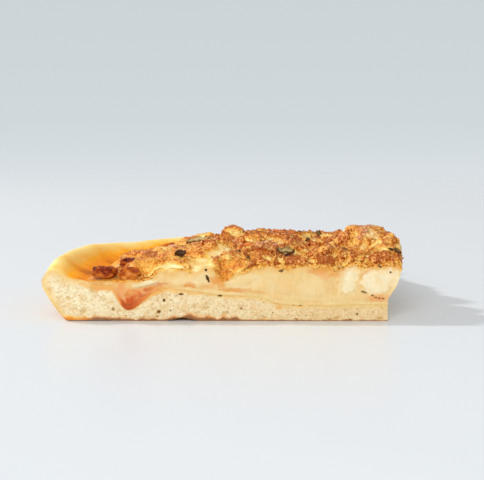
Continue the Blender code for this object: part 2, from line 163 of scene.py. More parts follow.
def reach(angle):
    """Distance from the middle to the widest line, at an angle from the front cut."""
    c, s = abs(math.cos(angle)), abs(math.sin(angle))
    return REACH / (c ** SQUARENESS + s ** SQUARENESS) ** (1.0 / SQUARENESS)


def dent(left, back):
    return along(DENT_PROFILE, left) * (1.0 - smooth(back / DENT_RUN))


@functools.cache
def flat_dough_top(left, back):
    """Top of the dough before the toppings dented it."""
    angle, distance = math.atan2(back, left), math.hypot(left, back)
    inset = reach(angle) - distance
    swell = smooth((angle - SWELL_START) / (SWELL_FULL - SWELL_START))
    swell *= 1.0 - smooth((angle - SWELL_FALL) / (SWELL_END - SWELL_FALL))
    crest = math.exp(-((inset - 0.006) / 0.007) ** 2)
    ripple = wavy(0.022, left, back, 0.0) * BED_RIPPLE * smooth(inset / 0.03)
    return along(DOUGH_PROFILE, inset) + RIM_SWELL * swell * crest + ripple


def dough_top(left, back):
    return flat_dough_top(left, back) - dent(left, back)


def dough_foot(left, back):
    """Underside of the dough: flat, with a small arch and a lifted heel at the front cut."""
    arch = ARCH_RISE * (1.0 - smooth(abs(left - ARCH_AT) / ARCH_HALF)) * (1.0 - smooth(back / ARCH_RUN))
    heel = HEEL_LIFT * smooth((left - HEEL_START) / HEEL_LENGTH) * (1.0 - smooth(back / HEEL_RUN))
    return arch + heel


def world(left, back, height):
    return Vector((MIDDLE.x - left, MIDDLE.y + back, height))


def dough_place(a, b, level):
    """Where a point of the unit block lies in the dough."""
    angle = math.atan2(b, a)
    wall = FOOT_INSET * (1.0 - level) ** 2.05
    distance = max(a, b) * (reach(angle) - wall)
    left, back = distance * math.cos(angle), distance * math.sin(angle)
    foot = dough_foot(left, back)
    return world(left, back, foot + level * (dough_top(left, back) - foot))


def block(lines, steps, top_halvings, cut_halvings):
    """A closed unit block of cells, halved again on top and, more often, towards the two cuts."""
    bm = bmesh.new()
    ends = (lines, lines, steps)
    points = {}
    for place in itertools.product(*(range(end + 1) for end in ends)):
        if any(count in (0, end) for count, end in zip(place, ends)):
            points[place] = bm.verts.new([count / end for count, end in zip(place, ends)])
    for across, upward, through in ((0, 1, 2), (1, 2, 0), (2, 0, 1)):
        for side in (0, ends[through]):
            for first, second in itertools.product(range(ends[across]), range(ends[upward])):
                ring = []
                for right, up in ((0, 0), (1, 0), (1, 1), (0, 1)):
                    place = [side, side, side]
                    place[across], place[upward] = first + right, second + up
                    ring.append(points[tuple(place)])
                bm.faces.new(ring if side else ring[::-1])
    for halving in range(max(top_halvings, cut_halvings)):
        strip = CUT_STRIP / 3 ** (halving - 1) if halving else 1.0
        edges = {}
        for face in bm.faces:
            centre = face.calc_center_median()
            near_cut = halving < cut_halvings and min(centre.x, centre.y) < strip
            if centre.z > 0.0 and (halving < top_halvings or near_cut):
                edges.update(dict.fromkeys(face.edges))
        bmesh.ops.subdivide_edges(bm, edges=list(edges), cuts=1, use_grid_fill=True)
    for point in bm.verts:
        point.co = Vector(min(max(value, 0.0), 1.0) for value in point.co)
    return bm


def laid(bm, place):
    """Move a unit block to its place, and return the unit place of each of its points."""
    units = [tuple(point.co) for point in bm.verts]
    for point, unit in zip(bm.verts, units):
        point.co = place(*unit)
    bmesh.ops.recalc_face_normals(bm, faces=bm.faces)
    bm.normal_update()
    return units


def piece(name, bm, finish, masks=None, sharp=60.0):
    """A smooth object of a mesh, with its masks as attributes."""
    bmesh.ops.triangulate(bm, faces=bm.faces, quad_method="BEAUTY")
    mesh = bpy.data.meshes.new(name)
    bm.to_mesh(mesh)
    bm.free()
    mesh.shade_smooth()
    mesh.set_sharp_from_angle(angle=math.radians(sharp))
    for label, values in (masks or {}).items():
        mesh.attributes.new(label, "FLOAT", "POINT").data.foreach_set("value", values)
    mesh.materials.append(finish)
    made = bpy.data.objects.new(name, mesh)
    bpy.context.scene.collection.objects.link(made)
    return made


def colour(red, green, blue):
    """A colour given in 0 to 255 steps of a screen, as the shader's linear values."""
    steps = (value / 255.0 for value in (red, green, blue))
    return (*(((v + 0.055) / 1.055) ** 2.4 if v > 0.04045 else v / 12.92 for v in steps), 1.0)


def node(tree, kind, values=None, **settings):
    """A node with its settings. A value that is a socket is linked, and any other is set."""
    made = tree.nodes.new(kind)
    for name, value in settings.items():
        setattr(made, name, value)
    for name, value in (values or {}).items():
        if isinstance(value, bpy.types.NodeSocket):
            tree.links.new(value, made.inputs[name])
        else:
            made.inputs[name].default_value = value
    return made


def mask(tree, name):
    return node(tree, "ShaderNodeAttribute", attribute_name=name).outputs["Fac"]


def mixed(tree, factor, first, second, blend="MIX"):
    """Colour mix; sockets 6 and 7 of the Mix node are its colours."""
    made = node(tree, "ShaderNodeMix", {0: factor, 6: first, 7: second}, data_type="RGBA", blend_type=blend)
    return made.outputs[2]


def maths(tree, operation, *values, clamped=False):
    made = node(tree, "ShaderNodeMath", dict(enumerate(values)), operation=operation, use_clamp=clamped)
    return made.outputs[0]


def own_place(tree):
    """Where a point lies on its own piece, in metres."""
    return node(tree, "ShaderNodeTexCoord").outputs["Object"]


def grain_at(tree, place, fineness, detail, roughness=0.5, output="Fac"):
    """Noise from 0 to 1 at a place, with its fineness in features to the metre."""
    values = {"Vector": place, "Scale": fineness, "Detail": detail, "Roughness": roughness}
    return node(tree, "ShaderNodeTexNoise", values).outputs[output]


def cloudy(tree, size, detail=3.0, roughness=0.55):
    """Noise from 0 to 1 on the piece's own place, with features of a size in metres."""
    return grain_at(tree, own_place(tree), 1.0 / size, detail, roughness)


def cells(tree, size):
    """Distance from the nearest of evenly strewn points, in shares of their spacing in metres."""
    values = {"Vector": own_place(tree), "Scale": 1.0 / size}
    return node(tree, "ShaderNodeTexVoronoi", values).outputs["Distance"]


def swayed(tree, value, texture, amount):
    """A value moved up and down by a texture, by half the amount at most."""
    return maths(tree, "ADD", value, maths(tree, "MULTIPLY_ADD", texture, amount, -0.5 * amount))


def bumped(tree, height, distance, normal=None):
    """Normal of a surface raised by a height, over another normal if there is one."""
    values = {"Height": height, "Distance": distance, "Strength": 1.0}
    if normal is not None:
        values["Normal"] = normal
    return node(tree, "ShaderNodeBump", values).outputs["Normal"]


def glowing(weight, depth, green, blue):
    """Shader values of light that spreads under a surface, red farthest."""
    return {"Subsurface_Weight": weight, "Subsurface_Scale": depth, "Subsurface_Radius": (1.0, green, blue)}


def ramp(tree, factor, stops):
    """Colour ramp through (place, colour) stops."""
    made = node(tree, "ShaderNodeValToRGB", {"Fac": factor})
    elements = made.color_ramp.elements
    while len(elements) < len(stops):
        elements.new(1.0)
    for element, (place, screen_colour) in zip(elements, stops):
        element.position = place
        element.color = colour(*screen_colour)
    return made.outputs["Color"]


def spread(tree, factor, low, high):
    """A value stretched so that low becomes 0 and high becomes 1, held between them."""
    return node(tree, "ShaderNodeMapRange", {"Value": factor, "From Min": low, "From Max": high}).outputs[0]


def new_effect(name, inputs, outputs):
    """A shader node group that several materials share, with its sockets given by name."""
    group = bpy.data.node_groups.new(name, "ShaderNodeTree")
    for socket, value in inputs.items():
        made = group.interface.new_socket(socket, in_out="INPUT", socket_type="NodeSocketFloat")
        made.default_value = value
    for socket, kind in outputs.items():
        group.interface.new_socket(socket, in_out="OUTPUT", socket_type="NodeSocket" + kind)
    return group, node(group, "NodeGroupInput").outputs


def effect(tree, group, **values):
    """The outputs of a shared effect in a material."""
    return node(tree, "ShaderNodeGroup", values, node_tree=group).outputs


def crinkle_effect():
    """Fine baked relief in two sizes: its normal, and the grain that colours can follow."""
    group, given = new_effect("crinkled surface", {"Fineness": 1000.0, "Depth": 0.0003},
                              {"Normal": "Vector", "Grain": "Float"})
    place = own_place(group)
    grain = grain_at(group, place, given["Fineness"], 4.0, 0.7)
    finer = grain_at(group, place, maths(group, "MULTIPLY", given["Fineness"], 2.6), 3.0)
    coarse = bumped(group, grain, given["Depth"])
    normal = bumped(group, finer, maths(group, "MULTIPLY", given["Depth"], 0.5), coarse)
    node(group, "NodeGroupOutput", {"Normal": normal, "Grain": grain})
    return group


def new_finish(name):
    """A material with its node tree and its Principled shader."""
    made = bpy.data.materials.new(name)
    made.use_nodes = True
    return made, made.node_tree, made.node_tree.nodes["Principled BSDF"]


def feed(tree, shader, **inputs):
    """Set or link sockets of the shader, named with underscores for spaces."""
    for name, value in inputs.items():
        socket = shader.inputs[name.replace("_", " ")]
        if isinstance(value, bpy.types.NodeSocket):
            tree.links.new(value, socket)
        else:
            socket.default_value = value


def bubbles(across, height, seed):
    """Depth of the crumb's bubbles at a place of a cut."""
    deepest = 0.0
    for spacing, radius in CRUMB_BUBBLES:
        place = Vector((across / 1.3, height, seed)) / spacing
        gap = noise.voronoi(place)[0][0] * spacing
        if gap < radius:
            deepest = max(deepest, math.sqrt(radius * radius - gap * gap) * 0.6)
    return deepest


def front_hole(left, height):
    """Depth of the single holes of the front cut, with ragged outlines."""
    ragged = 0.35 * wavy(0.0006, left, height, 0.0)
    deepest = 0.0
    for at, up, half_width, half_height, depth in FRONT_HOLES:
        share = math.hypot((left - at) / half_width, (height - up) / half_height) + ragged
        deepest = max(deepest, depth * (1.0 - smooth((share - 0.4) / 0.7)))
    return deepest


def gathered(marks):
    """The values of each mask at all points, from a dict of them at each point."""
    return {name: [mark[name] for mark in marks] for name in marks[0]}


def shape_crust(bm):
    """Lay the crust, open its crumb at the cuts, wrinkle its skin, and work out its masks."""
    units = laid(bm, dough_place)
    normals = [point.normal.copy() for point in bm.verts]
    marks = [dict.fromkeys(CRUST_MASKS, 0.0) for unit in units]
    for point, (a, b, level), normal, mark in zip(bm.verts, units, normals, marks):
        left, back, height = MIDDLE.x - point.co.x, point.co.y - MIDDLE.y, point.co.z
        inset = reach(math.atan2(b, a)) * (1.0 - max(a, b))
        on_front, on_side = b < AT_END, a < AT_END
        across = left if on_front else back
        blotch = 0.20 * wavy(0.015, *point.co) + 0.07 * wavy(0.005, *point.co)
        if level > 1.0 - AT_END:
            bake = 0.17 + 0.62 * smooth((inset - 0.004) / 0.014) + blotch
            bake -= 0.22 * (1.0 - smooth(min(left, back) / 0.006)) * (1.0 - smooth((inset - 0.006) / 0.010))
        else:
            bake = 0.36 + 0.45 * smooth(1.0 - height / 0.012) + blotch
            bake -= 0.65 * (1.0 - smooth(min(left, back) / 0.016))
        mark["bake"] = bake
        if on_front or on_side:
            below_top = dough_top(left, back) - height
            above_foot = max(height - dough_foot(left, back), 0.0)
            covered = 0.004 * smooth((inset - COVERED_INSET + 0.004) / 0.004)
            skin = min(below_top + covered, inset, above_foot + 0.0003)
            fray = 0.0003 * wavy(0.0015, across, height, 4.0)
            crumb = smooth((skin + fray) / SKIN)
            mark["crumb"] = crumb
            ragged = 0.0006 * wavy(0.003, across, height, 2.0)
            dented = dent(left, back) / DENT_DEEPEST
            soak = along(SOAKED, across) * (1.0 - dented) + ragged * (1.0 - 0.6 * dented)
            mark["soak"] = 1.0 - smooth((below_top - soak) / (0.0016 - 0.0006 * dented))
            at_rim = smooth((across - RIM_FADES[0]) / (RIM_FADES[1] - RIM_FADES[0]))
            browning = 0.85 * at_rim * (1.0 - smooth((min(below_top, inset) - 0.0005) / RIM_BROWNED))
            mark["soak"] = max(mark["soak"], browning)
            mark["orange"] = along(SOAKED_ORANGE, across) * (1.0 - at_rim) + 0.2 * dented
            if on_front:
                at, up, half_width, half_height = OIL_SPOT
                oily = 1.0 - smooth(math.hypot((left - at) / half_width, (height - up) / half_height) - 0.3)
                mark["soak"] = max(mark["soak"], oily)
                mark["orange"] = max(mark["orange"], 0.8 * oily)
            uneven = wavy(0.004, across, 0.0, 6.0)
            uneven += 0.3 * wavy(0.0014, across, height, 2.0)
            toasted = along(UNDERSIDE_TOASTED, across) * (1.0 + uneven)
            under = max(1.0 - above_foot / max(toasted, 0.0004), 0.0)
            browned = 0.85 * smooth(1.35 * under)
            mark["crumb"] = min(crumb, 1.0 - browned)
            bake = -0.12 + 0.45 * smooth((inset - 0.006) / 0.01)
            mark["bake"] = bake + 0.20 * browned + 0.75 * under
            inner = smooth((skin - 0.0004) / 0.0008) * smooth(across / 0.0012)
            pore = bubbles(across, height, 3.0 if on_front else 7.0) * inner
            hole = front_hole(left, height) if on_front else 0.0
            # How deep a point lies in a pore, which the finish paints darker as shade
            mark["pore"] = min(pore / PORE_DEEP, 1.0)
            # How deep a point lies in a single hole, which the finish paints dark brown as shade
            mark["hole"] = min(hole / HOLE_DEEP, 1.0)
            torn = sum(depth * wavy(size, across, height, seed) for size, depth, seed in TORN)
            rounded_off = CUT_ROUNDED * (1.0 - smooth(min(below_top + covered, inset) / 0.0010))
            depth = (max(pore, hole) + torn + 0.0002 + rounded_off) * smooth(across / 0.0006)
            point.co += Vector((0.0, depth, 0.0)) if on_front else Vector((-depth, 0.0, 0.0))
        elif level > 0.0:
            wrinkle = sum(depth * noise.noise(point.co / size) for size, depth in SKIN_WRINKLES)
            point.co += normal * wrinkle
    return gathered(marks)


def crust_finish():
    made, tree, shader = new_finish("baked dough")
    clouds = cloudy(tree, 0.006, 4.0)
    freckles = effect(tree, crinkled, Fineness=1100.0, Depth=0.00012)
    baked = swayed(tree, mask(tree, "bake"), clouds, 0.28)
    baked = swayed(tree, baked, freckles["Grain"], 0.36)
    skin = ramp(tree, baked, ((0.0, (255, 230, 162)), (0.25, (255, 208, 112)), (0.50, (255, 172, 34)),
                              (0.75, (232, 130, 0)), (1.0, (132, 66, 2))))
    # Painted light: the cut crumb is painted paler towards the left, the side the light comes from
    rightward = node(tree, "ShaderNodeSeparateXYZ", {0: own_place(tree)}).outputs["X"]
    painted_light_from_left = spread(tree, rightward, 0.050, -0.060)
    crumb = ramp(tree, painted_light_from_left, ((0.0, (246, 218, 168)), (1.0, (255, 240, 202))))
    blotches = maths(tree, "MULTIPLY", spread(tree, cloudy(tree, 0.0032, 3.0, 0.6), 0.46, 0.66), 0.75)
    crumb = mixed(tree, blotches, crumb, colour(236, 200, 144))
    specks = maths(tree, "MULTIPLY", spread(tree, cloudy(tree, 0.0011, 4.0, 0.7), 0.50, 0.66), 0.8)
    crumb = mixed(tree, specks, crumb, colour(212, 176, 118))
    # Painted shade: the crumb is painted darker down in its pores
    crumb = mixed(tree, mask(tree, "pore"), crumb, colour(222, 190, 128))
    dots = maths(tree, "MULTIPLY", spread(tree, cells(tree, 0.0026), 0.17, 0.09), 0.45)
    crumb = mixed(tree, dots, crumb, colour(172, 136, 70))
    tan = ramp(tree, clouds, ((0.35, (238, 198, 126)), (0.65, (246, 212, 146))))
    orange = ramp(tree, clouds, ((0.35, (242, 160, 76)), (0.65, (250, 192, 108))))
    crumb = mixed(tree, mask(tree, "soak"), crumb, mixed(tree, mask(tree, "orange"), tan, orange))
    # Painted shade: the single holes are painted dark brown in their depths
    crumb = mixed(tree, spread(tree, mask(tree, "hole"), 0.30, 0.95), crumb, colour(140, 92, 30))
    base = mixed(tree, mask(tree, "crumb"), skin, crumb)
    pits = maths(tree, "MULTIPLY", cells(tree, 0.0008), mask(tree, "crumb"))
    feed(tree, shader, Base_Color=base, Roughness=spread(tree, mask(tree, "crumb"), -1.2, 1.6),
         Normal=bumped(tree, pits, 0.00025, freckles["Normal"]), Specular_IOR_Level=0.02,
         **glowing(0.2, 0.003, 0.6, 0.3))
    return made


crinkled = crinkle_effect()
crust_block = block(CRUST_LINES, CRUST_STEPS, 1, 3)
crust_masks = shape_crust(crust_block)
crust = piece("crust_looks", crust_block, crust_finish(), crust_masks)
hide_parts("crust")
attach(crust, "root")

# Sauce
# A thin spread of cooked tomato and meat juices, brushed on the raw dough. It shows only as a wet orange line
# at the cuts, and dark red where it ran together in the dent.
SAUCE_THICKNESS = 0.0016
SAUCE_IN_DENT = 0.0014
SAUCE_SUNK = 0.0003          # soaked this far into the dough
SAUCE_TAPER = 0.010          # thins out over this distance from its edge
# How red it is along the dent, as (left, share)
DENT_RED = ((0.0950, 0.0), (0.1000, 0.30), (0.1050, 0.55), (0.1090, 0.80), (0.1112, 1.0), (0.1146, 1.0),
            (0.1170, 0.40), (0.1195, 0.10))
TOPPING_EDGE_INSET = 0.0200
TOPPING_EDGE_WAVE = 0.0022


def topping_edge(angle):
    """Distance from the middle to the uneven edge of the topping."""
    wave = math.sin(5.3 * angle - 2.6) + 0.6 * math.sin(12.0 * angle + 2.1)
    return reach(angle) - TOPPING_EDGE_INSET + TOPPING_EDGE_WAVE * wave * smooth(angle / 0.12)


def topping_plan(a, b):
    """Distances left and back of a point of the unit block, for the layers on the dough."""
    angle = math.atan2(b, a)
    distance = max(a, b) * topping_edge(angle)
    return distance * math.cos(angle), distance * math.sin(angle)


def sauce_thickness(left, back):
    inward = topping_edge(math.atan2(back, left)) - math.hypot(left, back)
    full = SAUCE_THICKNESS + SAUCE_IN_DENT * dent(left, back) / DENT_DEEPEST
    return full * (0.2 + 0.8 * smooth(inward / SAUCE_TAPER))


def sauce_place(a, b, level):
    left, back = topping_plan(a, b)
    return world(left, back, dough_top(left, back) - SAUCE_SUNK + level * sauce_thickness(left, back))


def shape_sauce(bm):
    """Lay the sauce and let it bead at the cuts."""
    units = laid(bm, sauce_place)
    red, orange = [], []
    for point, (a, b, level) in zip(bm.verts, units):
        left, back = MIDDLE.x - point.co.x, point.co.y - MIDDLE.y
        near_cut = 1.0 - smooth(back / DENT_RUN)
        red.append((along(DENT_RED, left) + 0.12 * wavy(0.0015, *point.co)) * near_cut)
        orange.append(along(SOAKED_ORANGE, left if b < AT_END else back))
        bead = 0.00020 * wavy(0.0030, *point.co)
        if b < AT_END:
            point.co.y -= bead
        elif a < AT_END:
            point.co.x += bead
    return {"red": red, "orange": orange}


def sauce_finish():
    made, tree, shader = new_finish("tomato sauce")
    clouds = cloudy(tree, 0.0035, 4.0, 0.6)
    tan = ramp(tree, clouds, ((0.30, (250, 222, 162)), (0.55, (245, 210, 146)), (0.75, (240, 200, 132))))
    orange = ramp(tree, clouds, ((0.30, (252, 206, 136)), (0.50, (246, 182, 104)), (0.75, (238, 154, 74))))
    dry = mixed(tree, mask(tree, "orange"), tan, orange)
    wet = ramp(tree, mask(tree, "red"), ((0.30, (240, 160, 84)), (0.60, (230, 130, 60)),
                                         (0.85, (208, 98, 36)), (1.0, (188, 80, 18))))
    base = mixed(tree, spread(tree, mask(tree, "red"), 0.05, 0.40), dry, wet)
    feed(tree, shader, Base_Color=base, Roughness=0.38, Specular_IOR_Level=0.3,
         Normal=effect(tree, crinkled, Fineness=1200.0, Depth=0.00015)["Normal"],
         **glowing(0.2, 0.002, 0.4, 0.2))
    return made


sauce_block = block(40, 2, 0, 3)
sauce_masks = shape_sauce(sauce_block)
sauce = piece("sauce_looks", sauce_block, sauce_finish(), sauce_masks)
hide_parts("sauce")
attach(sauce, "root")

# Cheese
# Soft cheese and cream baked to one thick layer. Under the grill its top swelled into craggy browned lumps;
# where the knife went through it is pale, wet and stringy.
CHEESE_LEAST = 0.0005
CHEESE_SUNK = 0.0003         # its underside runs this far into the sauce, unevenly
# As (distance in from the topping's own edge, thickness)
TOPPING_PROFILE = ((0.0, 0.0008), (0.003, 0.0024), (0.010, 0.0036), (0.025, 0.0072), (0.045, 0.0104),
                   (0.070, 0.0134), (0.090, 0.0168), (0.150, 0.0180))
# Top edge of the front cut, as (left, height)
FRONT_EDGE = ((0.0, 0.0236), (0.0022, 0.0243), (0.0070, 0.0250), (0.0118, 0.0244), (0.0160, 0.0258),
              (0.0225, 0.0228), (0.0283, 0.0246), (0.0467, 0.0243), (0.0536, 0.0248), (0.0628, 0.0217),
              (0.0718, 0.0190), (0.0755, 0.0228), (0.0794, 0.0241), (0.0855, 0.0221), (0.0903, 0.0230),
              (0.0977, 0.0230), (0.1050, 0.0184), (0.1180, 0.0178), (0.1286, 0.0174))
FRONT_EDGE_RUN = 0.009
# Mounds of browned topping, as (x, y), top and radius
MOUNDS = (
    ((0.0652, -0.037), 0.0380, 0.012), ((0.0738, -0.054), 0.0335, 0.010), ((0.0705, -0.060), 0.0290, 0.011),
    ((0.0690, -0.012), 0.0326, 0.013), ((0.0590, -0.018), 0.0286, 0.015), ((0.0500, -0.060), 0.0284, 0.011),
    ((0.0440, -0.043), 0.0292, 0.013), ((0.0318, -0.050), 0.0308, 0.012), ((0.0405, -0.002), 0.0304, 0.011),
    ((0.0285, -0.014), 0.0306, 0.012),
    ((0.0210, -0.052), 0.0296, 0.011), ((0.0183, -0.015), 0.0284, 0.012), ((0.0120, -0.010), 0.0270, 0.012),
    ((0.0090, -0.066), 0.0258, 0.011), ((0.0072, 0.010), 0.0304, 0.010), ((-0.0010, -0.037), 0.0292, 0.015),
    ((-0.0130, -0.006), 0.0258, 0.015), ((-0.0200, -0.058), 0.0258, 0.012),
    ((-0.0240, -0.028), 0.0260, 0.014), ((-0.0290, -0.062), 0.0254, 0.011),
    ((-0.0370, -0.040), 0.0254, 0.012), ((-0.0080, 0.026), 0.0252, 0.013), ((0.0250, 0.030), 0.0254, 0.018),
    ((0.0480, 0.040), 0.0246, 0.015), ((0.0650, 0.018), 0.0262, 0.016),
)
CRAG_SIZE = 0.0075
CRAG_DEPTH = 0.0018
# The topping leans out past the side cut, as (height above the dough, how far)
OVERHANG = ((0.0016, 0.0), (0.0046, 0.0017), (0.0086, 0.0040), (0.0146, 0.0058), (0.0206, 0.0076),
            (0.0330, 0.0078))
OVERHANG_RUN = 0.012
# Lumps on the crags, as (size, depth)
LUMPS = ((0.0078, 0.0048), (0.0034, 0.0013), (0.0018, 0.0005))
ALL_LUMPS = sum(depth for size, depth in LUMPS)
LUMPS_SUNK = 0.0046          # the lumps' valleys lie this far under the smooth surface
LUMPS_SEED = 1               # another number gives other outlines to the lumps
LUMP_DRIFT, DRIFT_SIZE = 0.30, 0.0035    # how far those outlines wander, as a share of a lump, and how often
PILLOW_GAP, PILLOW_ROUND = 0.80, 2.2     # how far from its crevice a lump is full, and how roundly
LOWEST_LUMP, LUMP_RANGE = 0.72, 0.28     # heights of the lumps, as shares of the highest
CREVICE_SHADE_GAP = 0.13           # breadth of a crevice's painted shade, as a share of a lump
VALLEY_SHADE = 1.10          # how much darker a valley and paler a lump's top are painted through the toast, as painted shade and light
LUMP_TOAST = 0.40            # how much one lump is browner or paler than the next
CLUMP_ROOM = 0.0010          # behind the cuts the surface lies this much lower, with room for the clumps
CRUMBLY = 0.0006             # finest unevenness between the lumps
LID = 0.0368                 # the grill's heat set what rose above this height lower and flatter
LID_SOFTNESS = 0.0012
# Parts of the top that browned less or more, as (left, back, radius, toast, how craggy)
TOP_PATCHES = (
    (0.0800, 0.0020, 0.0055, 0.10, 0.05), (0.0840, 0.0090, 0.0060, 0.12, 0.15),
    (0.0790, 0.0190, 0.0080, 0.12, 0.10), (0.0720, 0.0260, 0.0075, 0.12, 0.10),
    (0.0650, 0.0310, 0.0060, 0.15, 0.20),
    (0.0700, 0.0030, 0.0050, 0.82, 0.35), (0.0630, 0.0060, 0.0060, 0.76, 0.35),
    (0.0570, 0.0120, 0.0050, 0.72, 0.40), (0.1200, 0.0010, 0.0120, 0.56, 0.15),
    (0.1040, 0.0080, 0.0060, 0.64, 0.35), (0.0950, 0.0030, 0.0060, 0.12, 0.20),
    (0.1040, 0.0280, 0.0140, 0.86, 0.60), (0.0600, 0.0300, 0.0090, 0.34, 1.00),
    (0.0900, 0.0330, 0.0100, 0.55, 0.50), (0.1000, 0.0560, 0.0120, 0.50, 0.40),
    (0.0900, 0.0700, 0.0100, 0.55, 0.45), (0.0120, 0.0280, 0.0090, 0.50, 0.75),
    (0.0100, 0.0180, 0.0060, 0.55, 0.75), (0.0640, 0.1200, 0.0140, 0.50, 0.60),
    (0.0300, 0.1080, 0.0120, 0.45, 0.60), (0.0950, 0.0980, 0.0120, 0.40, 0.40),
    (0.0122, 0.0750, 0.0100, 0.86, 0.90), (0.0050, 0.0450, 0.0060, 0.82, 1.00),
    (0.0680, 0.0840, 0.0100, 0.74, 1.00),
    (0.0340, 0.0500, 0.0060, 0.70, 0.40), (0.0240, 0.0140, 0.0070, 0.80, 1.00),
)
# Where bits of ham gathered among the crumbs, as (left, back, radius)
MEAT_SPOTS = (
    (0.0100, 0.0340, 0.004), (0.0830, 0.0700, 0.012), (0.0610, 0.0400, 0.011), (0.0540, 0.0230, 0.008),
    (0.0150, 0.0500, 0.009), (0.0420, 0.0950, 0.010), (0.0900, 0.0420, 0.007), (0.0700, 0.0180, 0.006),
    (0.0400, 0.0300, 0.006),
)
# Stains of the front cut, as (left, height, half width, half height, strength): browned, pink and red
BROWN_STAINS = (
    (0.0432, 0.0135, 0.0034, 0.0016, 0.85), (0.0737, 0.0177, 0.0042, 0.0030, 0.80),
    (0.0270, 0.0228, 0.0070, 0.0018, 0.70), (0.0240, 0.0205, 0.0036, 0.0016, 0.50),
    (0.0670, 0.0135, 0.0080, 0.0013, 0.75), (0.0580, 0.0124, 0.0050, 0.0009, 0.55),
    (0.0865, 0.0148, 0.0038, 0.0024, 0.85), (0.0300, 0.0220, 0.0060, 0.0014, 0.55),
    (0.1020, 0.0150, 0.0040, 0.0010, 0.70), (0.0780, 0.0150, 0.0050, 0.0012, 0.45),
)
PINK_STAINS = (
    (0.1115, 0.0105, 0.0050, 0.0046, 0.95),
    (0.0300, 0.0205, 0.0050, 0.0026, 0.45), (0.0045, 0.0100, 0.0050, 0.0020, 0.75),
    (0.1080, 0.0120, 0.0050, 0.0032, 0.95), (0.1160, 0.0130, 0.0034, 0.0050, 0.80),
    (0.1020, 0.0128, 0.0030, 0.0016, 0.60), (0.1250, 0.0175, 0.0050, 0.0012, 0.40),
)
RED_STAINS = (
    (0.1110, 0.0088, 0.0034, 0.0026, 1.0), (0.1070, 0.0112, 0.0030, 0.0018, 0.70),
    (0.1035, 0.0140, 0.0034, 0.0012, 0.75), (0.0985, 0.0160, 0.0034, 0.0010, 0.60),
)
# Where it is whitest and clearest, of the same form
BRIGHT_SPOTS = (
    (0.0180, 0.0196, 0.0044, 0.0080, 0.85), (0.0052, 0.0176, 0.0084, 0.0062, 0.95),
    (0.0620, 0.0172, 0.0090, 0.0040, 0.40), (0.0330, 0.0150, 0.0060, 0.0040, 0.40),
    (0.0850, 0.0190, 0.0110, 0.0034, 0.50), (0.1052, 0.0164, 0.0070, 0.0020, 0.70),
    (0.0300, 0.0105, 0.0100, 0.0020, 0.30),
)
# A clear film runs round the cut chunk at the corner, as (left, height, half width, half height) of its arc
FILM = (0.0050, 0.0140, 0.0098, 0.0102)
CUT_ROUNDED_CHEESE = 0.0010
CRUST_HANG = 0.0006          # the toasted edge hangs out over the cut by this much
# Herb leaves lie on it, and the crumbs keep clear of them. As (x, y), length, width, heading in degrees, and
# how much darker than the palest
LEAVES = (
    ((-.0155, -.0612), .0050, .0032, 10.0, .60), ((-.0080, -.0330), .0126, .0028, 28.0, -.22),
    ((.0100, -.0580), .0026, .0020, 60.0, .30), ((.0310, -.0640), .0082, .0050, -8.0, 0.0),
    ((.0205, -.0330), .0034, .0020, -15.0, .30), ((.0420, -.0420), .0026, .0018, 20.0, .30),
    ((.0575, -.0560), .0034, .0018, 12.0, .30), ((.0785, -.0690), .0058, .0016, -14.0, .30),
    ((.0500, .0120), .0070, .0030, 80.0, .10), ((.0150, .0400), .0076, .0032, -50.0, .15),
    ((.0420, .0400), .0060, .0028, 5.0, .20), ((-.0060, .0120), .0058, .0026, 110.0, .10),
)
# Where it browned (with painted shade in its valleys and painted light on its lumps), rose in crags, split
# (with painted shade in the splits), was cut, turned golden, shows white, brown, pink and red stains, and
# where crumbs of each kind lie
CHEESE_MASKS = ("toast", "craggy", "crevice_shade", "face", "golden", "bright", "brown", "pink", "red", "crumbs",
                "inner", "meat")
CHEESE_LINES, CHEESE_STEPS = 56, 4


def cheese_foot(left, back):
    uneven = 0.0006 * max(wavy(0.005, left, back, 8.0), -0.2)
    return dough_top(left, back) - SAUCE_SUNK + sauce_thickness(left, back) - CHEESE_SUNK - uneven


def crags(left, back):
    """Cauliflower-like lumps of the browned surface, between -1 and 1."""
    place = Vector((left, back, 0.0)) / CRAG_SIZE
    return 0.7 * (1.0 - 1.6 * noise.voronoi(place)[0][0]) + 0.5 * noise.noise(place * 0.7)


@functools.cache
def cheese_top(left, back):
    """Top of the topping: a falling apron at the rim, mounds in the field and the cut's own top edge."""
    inward = max(topping_edge(math.atan2(back, left)) - math.hypot(left, back), 0.0)
    field = flat_dough_top(left, back) + along(TOPPING_PROFILE, inward)
    here = Vector((MIDDLE.x - left, MIDDLE.y + back))
    lift = 0.0
    for centre, top, radius in MOUNDS:
        share = (here - Vector(centre)).length / radius
        if share < 1.0:
            lift = max(lift, (top - field) * (1.0 - share * share) ** 1.5)
    height = field + lift + CRAG_DEPTH * crags(left, back) * smooth(inward / 0.010)
    height -= CLUMP_ROOM * smooth(inward / 0.006)
    front = 1.0 - smooth(back / FRONT_EDGE_RUN)
    height += front * (along(FRONT_EDGE, left) - height) * smooth(inward / 0.004)
    return max(height, cheese_foot(left, back) + CHEESE_LEAST)


def overhang(left, back, height):
    """How far the topping leans past the side cut, least where it is thin."""
    above = height - flat_dough_top(left, back)
    return along(OVERHANG, above) * math.exp(-left / OVERHANG_RUN)


def cheese_place(a, b, level):
    left, back = topping_plan(a, b)
    foot = cheese_foot(left, back)
    place = world(left, back, foot + level * (cheese_top(left, back) - foot))
    if level > 0.0:
        place.x += overhang(left, back, place.z)
    return place


def top_patches(left, back, toast, craggy):
    """Toast and cragginess, drawn to those of the patches that reach here."""
    for at, behind, radius, patch_toast, patch_craggy in TOP_PATCHES:
        share = math.hypot(left - at, back - behind) / radius
        pull = 1.0 - smooth((share - 0.55) / 0.7)
        toast += pull * (patch_toast - toast)
        craggy += pull * (patch_craggy - craggy)
    return toast, craggy


